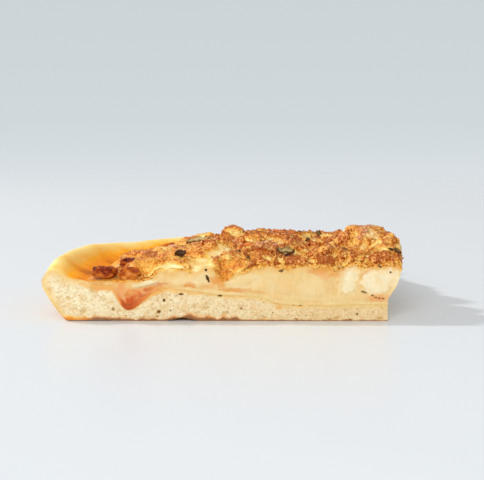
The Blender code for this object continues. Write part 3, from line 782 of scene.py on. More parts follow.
def stained(stains, left, height, inner=0.3, fade=1.0):
    """How strongly the stains of the front cut tint a place of it, full within their inner share."""
    wander = 0.5 * wavy(0.0016, left, height, 4.0)
    deepest = 0.0
    for at, up, half_width, half_height, strength in stains:
        share = math.hypot((left - at) / half_width, (height - up) / half_height) + wander
        deepest = max(deepest, strength * (1.0 - smooth((share - inner) / fade)))
    return deepest


def under_lid(height):
    """A height, eased so that it stays just above the lid at most."""
    above = max(height - LID, 0.0)
    return min(height, LID) + LID_SOFTNESS * (1.0 - math.exp(-above / LID_SOFTNESS))


def lumps(place):
    """Height of the lumps at a place, how dark its crevice is painted as shade, share of their rise reached,
    and their tone.
    """
    drift = LUMP_DRIFT * noise.noise_vector(place / DRIFT_SIZE)
    height = CRUMBLY * wavy(0.0013, *place) - LUMPS_SUNK
    crevice_shade, raised, tone = 0.0, 0.0, 0.0
    for size, depth in LUMPS:
        (first, second, *_), centres = noise.voronoi(place / size + drift)
        pillow = 1.0 - (1.0 - min((second - first) / PILLOW_GAP, 1.0)) ** PILLOW_ROUND
        taller = LOWEST_LUMP + LUMP_RANGE * noise.cell(centres[0] * 31.7)
        height += depth * taller * pillow
        raised += depth * pillow / ALL_LUMPS
        tone += depth * noise.cell(centres[0] * 17.3) / ALL_LUMPS
        crevice_shade = max(crevice_shade, min(depth / 0.0025, 1.0) * (1.0 - smooth((second - first) / CREVICE_SHADE_GAP)))
    return height, crevice_shade, raised, tone


def shape_cheese(bm):
    """Lay the cheese, raise its lumps, work its cut faces, and work out its masks."""
    units = laid(bm, cheese_place)
    normals = [point.normal.copy() for point in bm.verts]
    marks = [dict.fromkeys(CHEESE_MASKS, 0.0) for unit in units]
    for point, (a, b, level), normal, mark in zip(bm.verts, units, normals, marks):
        left, back = topping_plan(a, b)
        height = point.co.z
        inward = topping_edge(math.atan2(b, a)) * (1.0 - max(a, b))
        on_front, on_side = b < AT_END, a < AT_END
        rim_side = smooth((left - 0.060) / 0.045)
        blotch = 0.16 * wavy(0.011, *point.co) + 0.10 * wavy(0.0045, *point.co)
        toast, craggy = top_patches(left, back, 0.54 + 0.04 * rim_side + blotch, 1.0 - 0.35 * rim_side)
        craggy *= smooth((inward - 0.001) / 0.008)
        mark["craggy"] = craggy
        rise, crevice_shade, raised, tone = lumps(point.co)
        if level > 1.0 - AT_END:
            edge = smooth(min(a, b) / 0.02)
            # Toast, with painted shade in the valleys and painted light on the lump tops, and each lump's own
            # tone
            mark["toast"] = toast + craggy * (VALLEY_SHADE * (0.46 - raised) + LUMP_TOAST * tone)
            # Painted shade in the crevices between lumps and on the low ground between them
            mark["crevice_shade"] = max(crevice_shade, 0.9 * smooth((0.26 - raised) / 0.24)) * craggy
            mark["golden"] = 1.0
            leaf_near = min(math.hypot(point.co.x - x, point.co.y - y) / (0.45 * length)
                            for (x, y), length, *_ in LEAVES)
            mark["crumbs"] = craggy * smooth((toast - 0.30) / 0.3) * smooth((leaf_near - 0.6) / 0.5)
            mark["inner"] = mark["crumbs"] * smooth((min(left, back) - 0.003) / 0.002)
            mark["meat"] = max(1.0 - smooth(math.hypot(left - at, back - behind) / radius)
                               for at, behind, radius in MEAT_SPOTS)
            point.co += normal * rise * craggy * (0.3 + 0.7 * edge)
            point.co.z = under_lid(point.co.z)
            rounding = CUT_ROUNDED_CHEESE * (0.6 + wavy(0.003, *point.co))
            if on_front:
                point.co.y = MIDDLE.y + rounding
            if on_side:
                point.co.x = min(point.co.x, MIDDLE.x + overhang(0.0, back, height)) - rounding
        elif on_front or on_side:
            across = left if on_front else back
            rows_down = (1.0 - level) * (cheese_top(left, back) - cheese_foot(left, back))
            spill = 0.0004 + 0.0013 * wavy(0.0045, across, height, 3.0)
            spill += 0.0007 * wavy(0.0013, across, height, 3.0)
            mark["face"] = smooth((rows_down - spill) / 0.0016)
            mark["golden"] = 1.0 - smooth((rows_down - spill) / 0.0046)
            mark["toast"] = toast + 0.06
            if level < AT_END:
                mark["face"] = 1.0
            if on_front:
                mark["brown"] = stained(BROWN_STAINS, left, height)
                mark["pink"] = stained(PINK_STAINS, left, height)
                juice = along(DENT_RED, left) * (1.0 - smooth((height - cheese_foot(left, back)) / 0.0030))
                mark["pink"] = max(mark["pink"], juice)
                mark["red"] = max(stained(RED_STAINS, left, height), 0.6 * juice ** 2)
                mark["bright"] = stained(BRIGHT_SPOTS, left, height, 0.7, 0.5)
                arc = math.hypot((left - FILM[0]) / FILM[2], (height - FILM[1]) / FILM[3])
                on_arc = (1.0 - smooth(abs(arc - 1.0) / 0.06)) * smooth((height - FILM[1] - 0.002) / 0.003)
                mark["brown"] = max(mark["brown"], 0.50 * on_arc)
            else:
                mark["bright"] = smooth(0.5 + 2.0 * wavy(0.010, *point.co))
                mark["brown"] = 0.6 * smooth(wavy(0.004, *point.co) * 3.0 - 0.6)
                mark["pink"] = 0.5 * smooth(noise.noise(point.co / 0.006 + MIDDLE * 40) * 3.0 - 0.8)
            strings = noise.noise(Vector((across / 0.0011, height / 0.006, 1.0)))
            folds = noise.noise(Vector((across / 0.006, height / 0.0035, 6.0)))
            bulge = 0.00045 * folds + 0.00012 * strings
            bulge *= math.sin(math.pi * level) ** 0.5
            hang = 0.5 + 1.2 * wavy(0.0022, across, height, 5.0)
            bulge += CRUST_HANG * hang * craggy * (1.0 - mark["face"]) * smooth(rows_down / 0.0008)
            if level > AT_END:
                point.co += Vector((0.0, -bulge, 0.0)) if on_front else Vector((bulge, 0.0, 0.0))
    return gathered(marks)


def toasted_effect():
    """Colour of a browned surface: pale where it stayed soft, burnt where most toasted, with painted shade in
    its crevices and fine relief, and painted glints.
    """
    inputs = {"Toast": 0.5, "Crevice": 0.0, "Meaty": 0.0, "Speckled": 1.0, "Fineness": 520.0}
    group, given = new_effect("toasted surface", inputs, {"Color": "Color", "Grain": "Float"})
    place = own_place(group)
    grain = grain_at(group, place, given["Fineness"], 4.0, 0.62)
    clouds = grain_at(group, place, 300.0, 2.0)
    fine = grain_at(group, place, 1050.0, 2.0)
    toast = swayed(group, swayed(group, given["Toast"], clouds, 0.80), grain, 0.12)
    browned = ramp(group, toast, ((0.0, (255, 232, 172)), (0.34, (255, 200, 92)), (0.66, (254, 162, 36)),
                                  (1.0, (214, 108, 12))))
    meaty = maths(group, "MULTIPLY", given["Meaty"], spread(group, clouds, 0.30, 0.60))
    browned = mixed(group, maths(group, "MULTIPLY", meaty, 0.65), browned, colour(250, 192, 150))
    # Painted shade of the fine relief: a darker speckle where the fine grain is low
    painted_fine_shade = maths(group, "MULTIPLY", spread(group, fine, 0.49, 0.36), spread(group, toast, 0.0, 0.70))
    painted_fine_shade = maths(group, "MULTIPLY", painted_fine_shade, given["Speckled"])
    browned = mixed(group, painted_fine_shade, browned, colour(165, 126, 82), "MULTIPLY")
    # Painted highlights: glints screened on where the fine grain is high
    glints = maths(group, "MULTIPLY", spread(group, fine, 0.47, 0.60), given["Speckled"])
    browned = mixed(group, glints, browned, colour(235, 160, 106), "SCREEN")
    # Painted shade: crevices and low ground are painted deep brown
    crevice_shade = maths(group, "MULTIPLY", spread(group, given["Crevice"], 0.10, 0.80), 0.80)
    browned = mixed(group, crevice_shade, browned, colour(170, 78, 10))
    node(group, "NodeGroupOutput", {"Color": browned, "Grain": grain})
    return group


def stringy_effect():
    """Colour and relief of cut cheese: cloudy cream with upright strings, clearer where it is bright."""
    group, given = new_effect("cut cheese", {"Bright": 0.5}, {"Color": "Color", "Height": "Float"})
    place = own_place(group)
    drawn = node(group, "ShaderNodeMapping", {"Vector": place, "Scale": (1.0, 1.0, 0.16)}).outputs[0]
    strings = grain_at(group, drawn, 900.0, 3.0, 0.6)
    clouds = grain_at(group, place, 150.0, 5.0, 0.6)
    light = maths(group, "ADD", maths(group, "MULTIPLY", given["Bright"], 0.55),
                  maths(group, "MULTIPLY_ADD", clouds, 0.9, -0.20))
    cream = ramp(group, light, ((0.05, (234, 190, 118)), (0.30, (240, 205, 142)), (0.60, (244, 215, 158)),
                                (0.90, (255, 241, 210))))
    streaks = maths(group, "MULTIPLY", spread(group, strings, 0.50, 0.74), 0.24)
    streaked = mixed(group, streaks, cream, colour(255, 240, 200))
    node(group, "NodeGroupOutput", {"Color": streaked, "Height": strings})
    return group


def cheese_finish():
    made, tree, shader = new_finish("browned cheese")
    top = effect(tree, toasted, Toast=mask(tree, "toast"), Crevice=mask(tree, "crevice_shade"),
                 Meaty=mask(tree, "meat"), Speckled=spread(tree, mask(tree, "craggy"), -0.20, 0.80))
    cut = effect(tree, stringy, Bright=mask(tree, "bright"))["Color"]
    fray = cloudy(tree, 0.0022, 4.0, 0.65)
    golden = maths(tree, "MULTIPLY", mask(tree, "golden"), spread(tree, fray, 0.15, 0.70))
    cut = mixed(tree, golden, cut, colour(238, 180, 84))
    for stain, tint in (("pink", (240, 154, 88)), ("red", (206, 92, 32)), ("brown", (228, 146, 56))):
        cut = mixed(tree, mask(tree, stain), cut, colour(*tint))
    rough = maths(tree, "MULTIPLY", spread(tree, mask(tree, "toast"), 0.10, 0.45),
                  maths(tree, "SUBTRACT", 1.0, mask(tree, "face")))
    depth = maths(tree, "MULTIPLY_ADD", rough, 0.00026, 0.00010)
    crinkles = effect(tree, crinkled, Fineness=1500.0, Depth=depth)["Normal"]
    relief = bumped(tree, maths(tree, "MULTIPLY", top["Grain"], rough), 0.0009, crinkles)
    frayed_face = maths(tree, "MULTIPLY_ADD", mask(tree, "face"), 1.5,
                        maths(tree, "MULTIPLY_ADD", fray, 0.9, -0.45), clamped=True)
    feed(tree, shader, Base_Color=mixed(tree, frayed_face, top["Color"], cut), Roughness=0.34, Normal=relief,
         Specular_IOR_Level=0.18, **glowing(0.12, 0.002, 0.55, 0.25))
    return made


toasted = toasted_effect()
stringy = stringy_effect()
noise.seed_set(LUMPS_SEED)
cheese_block = block(CHEESE_LINES, CHEESE_STEPS, 2, 3)
cheese_masks = shape_cheese(cheese_block)
cheese = piece("cheese_looks", cheese_block, cheese_finish(), cheese_masks, 75.0)
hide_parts("cheese")
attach(cheese, "root")

# Pale chunks
# Cubes of a firmer pale cheese that went soft but kept their form. The knife cut some of them, and their cut
# faces stand a little proud, glassy and streaked.
# As (left, back, height), half sizes, tilt in degrees, and how far it stands proud of the cut
CHUNKS = {
    "pale_wedge": ((.0636, .0020, .0176), (.0088, .0080, .0025), 15.0, .0004),
    "pale_chunk_1": ((.0384, .0040, .0160), (.0148, .0110, .0055), -2.0, .0003),
    "pale_chunk_2": ((.0172, .0020, .0162), (.0036, .0090, .0055), 0.0, .0003),
    "pale_chunk_3": ((.0046, .0035, .0154), (.0064, .0090, .0046), 6.0, .0003),
    "pale_chunk_4": ((-.0005, .0400, .0165), (.0080, .0120, .0054), 0.0, .0003),
    "pale_chunk_5": ((.0005, .0700, .0188), (.0080, .0100, .0036), 0.0, .0003),
    "pale_sliver": ((.1052, .0015, .0164), (.0062, .0050, .0014), 13.0, .0016),
    "ham_slice": ((.1118, .0012, .0122), (.0033, .0034, .0012), 26.0, .0002),
}
CHUNK_UNEVEN, CHUNK_DIMPLES = 0.16, 0.03
SIDE_CUT_BULGE = 0.0062      # the chunks of the side cut lean out with the cheese by this much
SLICE_CHAR = 0.28


def rounded(half, matrix, seed, unevenness, fineness, dimples=0.0):
    """An uneven rounded piece of its half sizes, in its place."""
    bm = bmesh.new()
    bmesh.ops.create_icosphere(bm, subdivisions=fineness, radius=1.0)
    drift = Vector((seed * 3.7, seed * 1.9, seed * 5.3))
    for point in bm.verts:
        swell = 1.0 + unevenness * noise.noise(point.co * 1.7 + drift)
        swell += dimples * noise.noise(point.co * 5.0 + drift)
        point.co = Vector(value * size * swell for value, size in zip(point.co, half))
    bmesh.ops.transform(bm, matrix=matrix, verts=bm.verts)
    return bm


def cut_back(bm, proud=0.0003):
    """Press what lies past the two cuts to soft pillows, proud of them in their middle."""
    front, side = MIDDLE.y, MIDDLE.x + SIDE_CUT_BULGE
    farthest_front = max(max(front - point.co.y for point in bm.verts), 1e-5)
    farthest_side = max(max(point.co.x - side for point in bm.verts), 1e-5)
    for point in bm.verts:
        if point.co.y < front:
            point.co.y = front - proud * ((front - point.co.y) / farthest_front) ** 2
        if point.co.x > side:
            point.co.x = side + proud * ((point.co.x - side) / farthest_side) ** 2


def pale_finish():
    made, tree, shader = new_finish("pale cheese")
    cut = effect(tree, stringy, Bright=mask(tree, "bright"))
    feed(tree, shader, Base_Color=cut["Color"], Roughness=0.34, Normal=bumped(tree, cut["Height"], 0.0003),
         Specular_IOR_Level=0.22, **glowing(0.16, 0.003, 0.6, 0.3))
    return made


def ham_finish():
    made, tree, shader = new_finish("baked ham")
    char = swayed(tree, mask(tree, "char"), cloudy(tree, 0.0022, 4.0, 0.65), 0.5)
    base = ramp(tree, char, ((0.0, (255, 222, 176)), (0.25, (246, 168, 96)), (0.50, (214, 116, 28)),
                             (0.75, (150, 50, 10)), (1.0, (80, 20, 6))))
    feed(tree, shader, Base_Color=base, Roughness=0.32, Specular_IOR_Level=0.14,
         Normal=effect(tree, crinkled, Fineness=650.0, Depth=0.0007)["Normal"],
         **glowing(0.06, 0.002, 0.4, 0.2))
    return made


pale = pale_finish()
ham = ham_finish()
chunks = {}
for number, (name, ((left, back, height), half, tilt, proud)) in enumerate(CHUNKS.items()):
    turned = Matrix.Translation(world(left, back, height)) @ Matrix.Rotation(math.radians(-tilt), 4, "Y")
    chunk_mesh = rounded(half, turned, number, CHUNK_UNEVEN, 5, CHUNK_DIMPLES)
    cut_back(chunk_mesh, proud)
    is_ham = name == "ham_slice"
    if is_ham:
        masks = {"char": [SLICE_CHAR] * len(chunk_mesh.verts)}
    else:
        masks = {"bright": [stained(BRIGHT_SPOTS, MIDDLE.x - point.co.x, point.co.z, 0.7, 0.5)
                            for point in chunk_mesh.verts]}
    chunk = piece(name + "_looks", chunk_mesh, ham if is_ham else pale, masks)
    chunks[name] = chunk
    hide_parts(name)
    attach(chunk, "root")

# Ham
# Torn bits of cured ham strewn over the cheese before baking. Their edges crisped dark, their folds stayed
# pink and glossy, and each sank halfway into the cheese.
# As (x, y), half sizes, heading in degrees, how far the cheese lifted it, and char
HAM_PIECES = (
    ((-.0484, -.0722), (.0054, .0048, .0026), 8.0, -.0003, 0.78),
    ((-.0370, -.0722), (.0043, .0046, .0029), -10.0, -.0012, 0.62),
    ((-.0380, -.0520), (.0048, .0040, .0020), 20.0, .0018, 0.85),
    ((-.0125, -.0020), (.0056, .0042, .0024), 25.0, 0.0, 0.40),
    ((.0140, -.0420), (.0046, .0040, .0030), 0.0, 0.0, 0.45),
    ((.0330, .0200), (.0060, .0046, .0028), -35.0, 0.0, 0.55),
    ((.0610, .0380), (.0054, .0046, .0026), 60.0, 0.0, 0.55),
    ((-.0240, .0000), (.0050, .0040, .0020), 40.0, 0.0, 0.50),
)
HAM_UNEVEN, HAM_CRINKLED = 0.4, 0.24
CHAR_RANGE = 0.30            # how much the char differs over one piece, in patches and from foot to top

for number, ((x, y), half, heading, lifted, char) in enumerate(HAM_PIECES):
    replaced = f"ham_piece_{number + 1}"
    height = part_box(replaced)[1][2] - half[2] + lifted
    turned = Matrix.Translation((x, y, height)) @ Matrix.Rotation(math.radians(heading), 4, "Z")
    ham_mesh = rounded(half, turned, number + 20, HAM_UNEVEN, 5, HAM_CRINKLED)
    chars = []
    for point in ham_mesh.verts:
        risen = (point.co.z - height) / half[2]
        patchy = CHAR_RANGE * wavy(0.0022, *point.co)
        chars.append(char + patchy + CHAR_RANGE * smooth(0.5 + 0.6 * risen) - 0.25)
    cut_back(ham_mesh)
    ham_piece = piece(f"{replaced}_looks", ham_mesh, ham, {"char": chars})
    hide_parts(replaced)
    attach(ham_piece, "root")

# Herb leaves
# Dried rosemary and oregano strewn on the cheese. They curled and darkened at their edges and lie half sunk
# in it, so the solids carry them as part of the cheese.
LEAF_THICKNESS = 0.0003
LEAF_LIFT = 0.0006
LEAF_SAG = 0.0010            # it bridges gaps deeper than this
LEAF_CURL = 0.28             # its sides stand up over its rib by this share of its width
LEAF_LEAN = 0.40             # rise towards the back, so that each faces the front cut


def tree_of(target):
    """A tree that finds where a line meets an object."""
    bm = bmesh.new()
    bm.from_mesh(target.data)
    tree = BVHTree.FromBMesh(bm)
    bm.free()
    return tree


def on_cheese(x, y):
    """The place of the cheese's surface under a point, or None past its edge."""
    return cheese_tree.ray_cast(Vector((x, y, 0.1)), Vector((0.0, 0.0, -1.0)))[0]


def leaf_place(number):
    """The function that lays the unit block as one leaf: pointed, folded at its rib and curled up."""
    (x, y), length, width, heading, dark = LEAVES[number]
    turn = Matrix.Rotation(math.radians(heading), 2)
    middle = on_cheese(x, y).z

    def place(a, b, level):
        crumpled = noise.noise(Vector((5.0 * a, 2.5 * b, 7.0 * number)))
        half_width = 0.5 * width * max(math.sin(math.pi * a), 0.05) * (1.0 + 0.7 * crumpled)
        bend = 0.14 * length * math.sin(3.0 * a + number)
        spot = turn @ Vector((length * (a - 0.5), 2.0 * half_width * (b - 0.5) + bend))
        below = on_cheese(x + spot.x, y + spot.y)
        under = min(max(below.z, middle - LEAF_SAG), middle + LEAF_SAG) if below else middle
        curl = LEAF_CURL * width * ((2.0 * b - 1.0) ** 2 + 0.5 * abs(2.0 * a - 1.0) ** 3)
        lean = LEAF_LEAN * (spot.y + 0.3 * width)
        raised = LEAF_LIFT * (1.0 + 0.8 * crumpled) + curl + lean
        height = under_lid(0.5 * (under + middle) + raised) + level * LEAF_THICKNESS
        return Vector((x + spot.x, y + spot.y, height))

    return place


def leaf_finish():
    made, tree, shader = new_finish("dried herb")
    edge = maths(tree, "ADD", mask(tree, "edge"), maths(tree, "SUBTRACT", cloudy(tree, 0.0010), 0.40))
    base = ramp(tree, edge, ((0.0, (206, 176, 118)), (0.22, (160, 128, 76)), (0.50, (112, 80, 42)),
                             (1.0, (60, 34, 14))))
    feed(tree, shader, Base_Color=base, Roughness=0.5, Specular_IOR_Level=0.12,
         Normal=effect(tree, crinkled, Fineness=1800.0, Depth=0.0002)["Normal"])
    return made


def leaf_edge(a, b):
    """How dark a leaf is at a place of its unit block: at its tips, its two sides and its rib."""
    tips = 0.5 * abs(2.0 * a - 1.0) ** 8
    rib = 0.60 * math.exp(-((b - 0.55) / 0.09) ** 2)
    return max(tips, 0.7 * (1.0 - b) ** 5, 0.3 * b ** 8, rib)


herb = leaf_finish()
cheese_tree = tree_of(cheese)
for number in range(len(LEAVES)):
    leaf_mesh = block(10, 1, 0, 0)
    leaf_units = laid(leaf_mesh, leaf_place(number))
    dark = LEAVES[number][4]
    edges = [dark + leaf_edge(a, b) for a, b, level in leaf_units]
    leaf = piece(f"herb_leaf_{number + 1}", leaf_mesh, herb, {"edge": edges})
    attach(leaf, "root")

# Flecks on the cut
# Specks of herb and burnt cheese that the knife drew over the front cut, flat on it.
# As (left, height), half length, half width, turn in degrees, and how dark
CUT_FLECKS = (
    ((.0787, .0224), .0006, .0005, 20.0, 0.75), ((.0782, .0190), .0012, .0006, 65.0, 0.75),
    ((.0776, .0176), .0007, .0004, 70.0, 0.75), ((.0105, .0128), .0014, .0004, 18.0, 0.22),
    ((.0462, .0221), .0010, .0006, -10.0, 0.30), ((.0037, .0241), .0012, .0004, 30.0, 0.34),
    ((.0066, .0112), .0007, .0003, 20.0, 0.34), ((.0052, .0104), .0006, .0003, 10.0, 0.34),
    ((.0037, .0100), .0006, .0003, 0.0, 0.34), ((.0021, .0099), .0006, .0003, -8.0, 0.34),
    ((-.0010, .0214), .0005, .0004, 0.0, 0.55), ((.0605, .0262), .0007, .0006, 30.0, 0.34),
)
FLECK_THICKNESS = 0.00025


def cut_surface(left, height):
    """Y of the front cut's surface at a place of it."""
    start = Vector((MIDDLE.x - left, MIDDLE.y - 0.01, height))
    hits = [tree.ray_cast(start, Vector((0.0, 1.0, 0.0)))[0] for tree in front_trees]
    return min((hit.y for hit in hits if hit), default=MIDDLE.y)


def shape_flecks():
    """All specks as one mesh of flat uneven discs, with how dark each is."""
    flecks = bmesh.new()
    darkness = []
    for number, ((left, height), half_length, half_width, turn, dark) in enumerate(CUT_FLECKS):
        disc = bmesh.ops.create_icosphere(flecks, subdivisions=3, radius=1.0)["verts"]
        for point in disc:
            swell = 1.0 + 0.5 * noise.noise(point.co * 1.6 + Vector((number * 7.0, 0.0, 0.0)))
            flat = Vector((point.co.x * half_length * swell, point.co.y * FLECK_THICKNESS,
                           point.co.z * half_width * swell))
            flat.rotate(Matrix.Rotation(math.radians(turn), 3, "Y"))
            surface = cut_surface(left - flat.x, height + flat.z)
            point.co = Vector((MIDDLE.x - left + flat.x, surface + flat.y, height + flat.z))
        darkness += [dark] * len(disc)
    return flecks, darkness


front_trees = [cheese_tree, tree_of(crust), tree_of(chunks["pale_chunk_3"])]
fleck_mesh, fleck_darkness = shape_flecks()
cut_flecks = piece("cut_flecks", fleck_mesh, herb, {"edge": fleck_darkness})
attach(cut_flecks, "root")

# Crumbs
# Grated hard cheese that fell in grains on the top and toasted there, with shreds of ham and flecks of herb
# among them. Each kind is strewn by one tree and made one mesh.
STREWING_INPUTS = {"Geometry": "Geometry", "Where": "String", "Density": "Float", "Smallest": "Float",
                   "Largest": "Float", "Detail": "Int", "Flatness": "Float", "Sunk": "Float",
                   "Ragged": "Float", "Paler": "Float", "Seed": "Int", "Finish": "Material"}
# The values of each kind, in the order of these inputs from Where to Seed
CRUMB_KINDS = {
    "toasted_clumps": ("inner", 6.0e3, 0.0018, 0.0036, 3, 0.80, 0.50, 0.4, -0.04, 3),
    "toasted_nuggets": ("crumbs", 1.2e4, 0.0008, 0.0016, 2, 0.70, 0.40, 1.2, -0.04, 7),
    "toasted_grains": ("crumbs", 4.0e4, 0.0003, 0.0006, 1, 0.80, 0.10, 1.0, -0.10, 9),
    "ham_shreds": ("meat", 1.0e5, 0.0006, 0.0015, 2, 0.60, 0.10, 1.2, 0.0, 11),
    "herb_flecks": ("crumbs", 4.0e3, 0.0002, 0.0005, 1, 0.40, 0.0, 0.7, 0.0, 23),
}
TUMBLE = (0.6, 0.6, 6.28)    # how far a crumb may be turned about each of its axes, in radians
TOAST_SPREAD = 0.22          # how much one crumb is browner or paler than the next
NARROWEST = 0.60             # least breadth of a crumb, as a share of its length
CRUMBS_PROUD = 0.0008        # of what stood farther out of the front cut than this,
PUSHED_BACK = 0.85           # the knife pushed back this share
UNDERSIDE_SHADE = 0.30          # how much darker their undersides and paler their tops are painted, as painted shade


def strewing_tree():
    """Crumbs strewn on a surface by a mask, each turned, sized, sunk and dented at random."""
    tree = bpy.data.node_groups.new("strewn crumbs", "GeometryNodeTree")
    tree.interface.new_socket("Geometry", in_out="OUTPUT", socket_type="NodeSocketGeometry")
    for name, kind in STREWING_INPUTS.items():
        tree.interface.new_socket(name, in_out="INPUT", socket_type=f"NodeSocket{kind}")
    given = node(tree, "NodeGroupInput").outputs

    def attribute(name):
        made = node(tree, "GeometryNodeInputNamedAttribute", {"Name": name}, data_type="FLOAT")
        return made.outputs["Attribute"]

    def random(low, high):
        values = {2: low, 3: high, "Seed": given["Seed"]}
        return node(tree, "FunctionNodeRandomValue", values, data_type="FLOAT").outputs[1]

    def vector_maths(operation, first, second):
        return node(tree, "ShaderNodeVectorMath", {0: first, **second}, operation=operation).outputs[0]

    strewn = node(tree, "GeometryNodeDistributePointsOnFaces",
                  {"Mesh": given["Geometry"], "Seed": given["Seed"],
                   "Density": maths(tree, "MULTIPLY", given["Density"], attribute(given["Where"]))},
                  distribute_method="RANDOM").outputs
    size = random(given["Smallest"], given["Largest"])
    sink = maths(tree, "MULTIPLY", maths(tree, "MULTIPLY", size, given["Sunk"]), -1.0)
    down = node(tree, "ShaderNodeCombineXYZ", {"Z": sink}).outputs[0]
    points = node(tree, "GeometryNodeSetPosition", {"Geometry": strewn["Points"], "Offset": down}).outputs[0]
    shade = maths(tree, "ADD", attribute("toast"), random(-TOAST_SPREAD, TOAST_SPREAD))
    points = node(tree, "GeometryNodeStoreNamedAttribute",
                  {"Geometry": points, "Name": "toast", "Value": maths(tree, "ADD", shade, given["Paler"])},
                  data_type="FLOAT", domain="POINT").outputs[0]
    crumb = node(tree, "GeometryNodeMeshIcoSphere", {"Radius": 1.0, "Subdivisions": given["Detail"]})
    squeezed = maths(tree, "MULTIPLY", size, random(NARROWEST, 1.0))
    low = maths(tree, "MULTIPLY", size, given["Flatness"])
    flat = node(tree, "ShaderNodeCombineXYZ", {"X": size, "Y": squeezed, "Z": low}).outputs[0]
    tumbled = node(tree, "FunctionNodeRandomValue",
                   {0: (-TUMBLE[0], -TUMBLE[1], 0.0), 1: TUMBLE, "Seed": given["Seed"]},
                   data_type="FLOAT_VECTOR").outputs[0]
    turned = node(tree, "FunctionNodeRotateRotation", {"Rotation": strewn["Rotation"], "Rotate By": tumbled},
                  rotation_space="LOCAL").outputs[0]
    placed = node(tree, "GeometryNodeInstanceOnPoints",
                  {"Points": points, "Instance": crumb.outputs["Mesh"], "Rotation": turned,
                   "Scale": flat}).outputs[0]
    real = node(tree, "GeometryNodeRealizeInstances", {"Geometry": placed}).outputs[0]
    place = node(tree, "GeometryNodeInputPosition").outputs[0]
    rough = grain_at(tree, place, 620.0, 3.0, 0.65, "Color")
    centred = vector_maths("SUBTRACT", rough, {1: (0.5, 0.5, 0.5)})
    dent_size = maths(tree, "MULTIPLY", given["Largest"], maths(tree, "MULTIPLY", given["Ragged"], 2.0))
    dents = vector_maths("SCALE", centred, {"Scale": dent_size})
    dented = node(tree, "GeometryNodeSetPosition", {"Geometry": real, "Offset": dents}).outputs[0]
    soft = node(tree, "GeometryNodeSetShadeSmooth", {"Geometry": dented}).outputs[0]
    done = node(tree, "GeometryNodeSetMaterial", {"Geometry": soft, "Material": given["Finish"]}).outputs[0]
    node(tree, "NodeGroupOutput", {"Geometry": done})
    return tree


def strew(name, tree, values):
    """One kind of crumb, strewn on the cheese and made a plain mesh."""
    made = bpy.data.objects.new(name, cheese.data.copy())
    bpy.context.scene.collection.objects.link(made)
    modifier = made.modifiers.new("strewn", "NODES")
    modifier.node_group = tree
    for socket in tree.interface.items_tree:
        if socket.in_out == "INPUT" and socket.name in values:
            modifier[socket.identifier] = values[socket.name]
    evaluated = made.evaluated_get(bpy.context.evaluated_depsgraph_get())
    mesh = bpy.data.meshes.new_from_object(evaluated)
    # Painted shade: a crumb is browner where it faces down and paler where it faces up
    for toast, normal in zip(mesh.attributes["toast"].data, [tuple(n.vector) for n in mesh.vertex_normals]):
        toast.value += UNDERSIDE_SHADE * (0.35 - normal[2])
    for point in mesh.vertices:
        point.co.z = under_lid(point.co.z)
        past_cut = MIDDLE.y - CRUMBS_PROUD - point.co.y
        point.co.y += PUSHED_BACK * max(past_cut, 0.0)
    made.modifiers.clear()
    made.data = mesh
    return made


def nugget_finish():
    made, tree, shader = new_finish("toasted crumbs")
    surface = effect(tree, toasted, Toast=mask(tree, "toast"), Meaty=mask(tree, "meat"))
    crinkles = effect(tree, crinkled, Fineness=1500.0, Depth=0.0004)
    feed(tree, shader, Base_Color=surface["Color"], Roughness=0.42, Specular_IOR_Level=0.2,
         Normal=bumped(tree, surface["Grain"], 0.0008, crinkles["Normal"]),
         **glowing(0.10, 0.002, 0.55, 0.25))
    return made


def shred_finish():
    made, tree, shader = new_finish("ham shreds")
    clouds = cloudy(tree, 0.0012, 4.0)
    base = ramp(tree, clouds, ((0.30, (255, 222, 186)), (0.48, (240, 170, 124)), (0.70, (190, 98, 50))))
    feed(tree, shader, Base_Color=base, Roughness=0.35, Specular_IOR_Level=0.2,
         Normal=effect(tree, crinkled, Fineness=1200.0, Depth=0.0004)["Normal"],
         **glowing(0.10, 0.002, 0.5, 0.3))
    return made


def fleck_finish():
    made, tree, shader = new_finish("herb flecks")
    base = ramp(tree, cloudy(tree, 0.0014), ((0.35, (50, 38, 16)), (0.65, (112, 96, 44))))
    feed(tree, shader, Base_Color=base, Roughness=0.55, Specular_IOR_Level=0.12,
         Normal=effect(tree, crinkled, Fineness=2000.0, Depth=0.0001)["Normal"])
    return made


strewing = strewing_tree()
nugget = nugget_finish()
for name, finish, slot in (("toasted_clumps", nugget, "cheese"), ("toasted_nuggets", nugget, "cheese"),
                           ("toasted_grains", nugget, "cheese"), ("ham_shreds", shred_finish(), "ham"),
                           ("herb_flecks", fleck_finish(), "cheese")):
    strewn_piece = strew(name, strewing, dict(zip(list(STREWING_INPUTS)[1:], (*CRUMB_KINDS[name], finish))))
    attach(strewn_piece, "root")

# Floor
# A pale glossy table top that fades into the backdrop, so that no edge of it shows from any side.
FLOOR_RADIUS = 1.6
FLOOR_FADE = (0.30, 1.2)


def floor_finish():
    made, tree, shader = new_finish("pale table top")
    radius = node(tree, "ShaderNodeVectorMath", {0: own_place(tree)}, operation="LENGTH").outputs["Value"]
    fade = node(tree, "ShaderNodeMapRange", {"Value": radius, "From Min": FLOOR_FADE[0],
                                             "From Max": FLOOR_FADE[1], "To Min": 1.0, "To Max": 0.0},
                interpolation_type="SMOOTHSTEP").outputs[0]
    mottled = ramp(tree, cloudy(tree, 0.3), ((0.3, (215, 219, 222)), (0.7, (218, 222, 225))))
    feed(tree, shader, Base_Color=mottled, Roughness=0.30, Specular_IOR_Level=0.2, Alpha=fade)
    return made


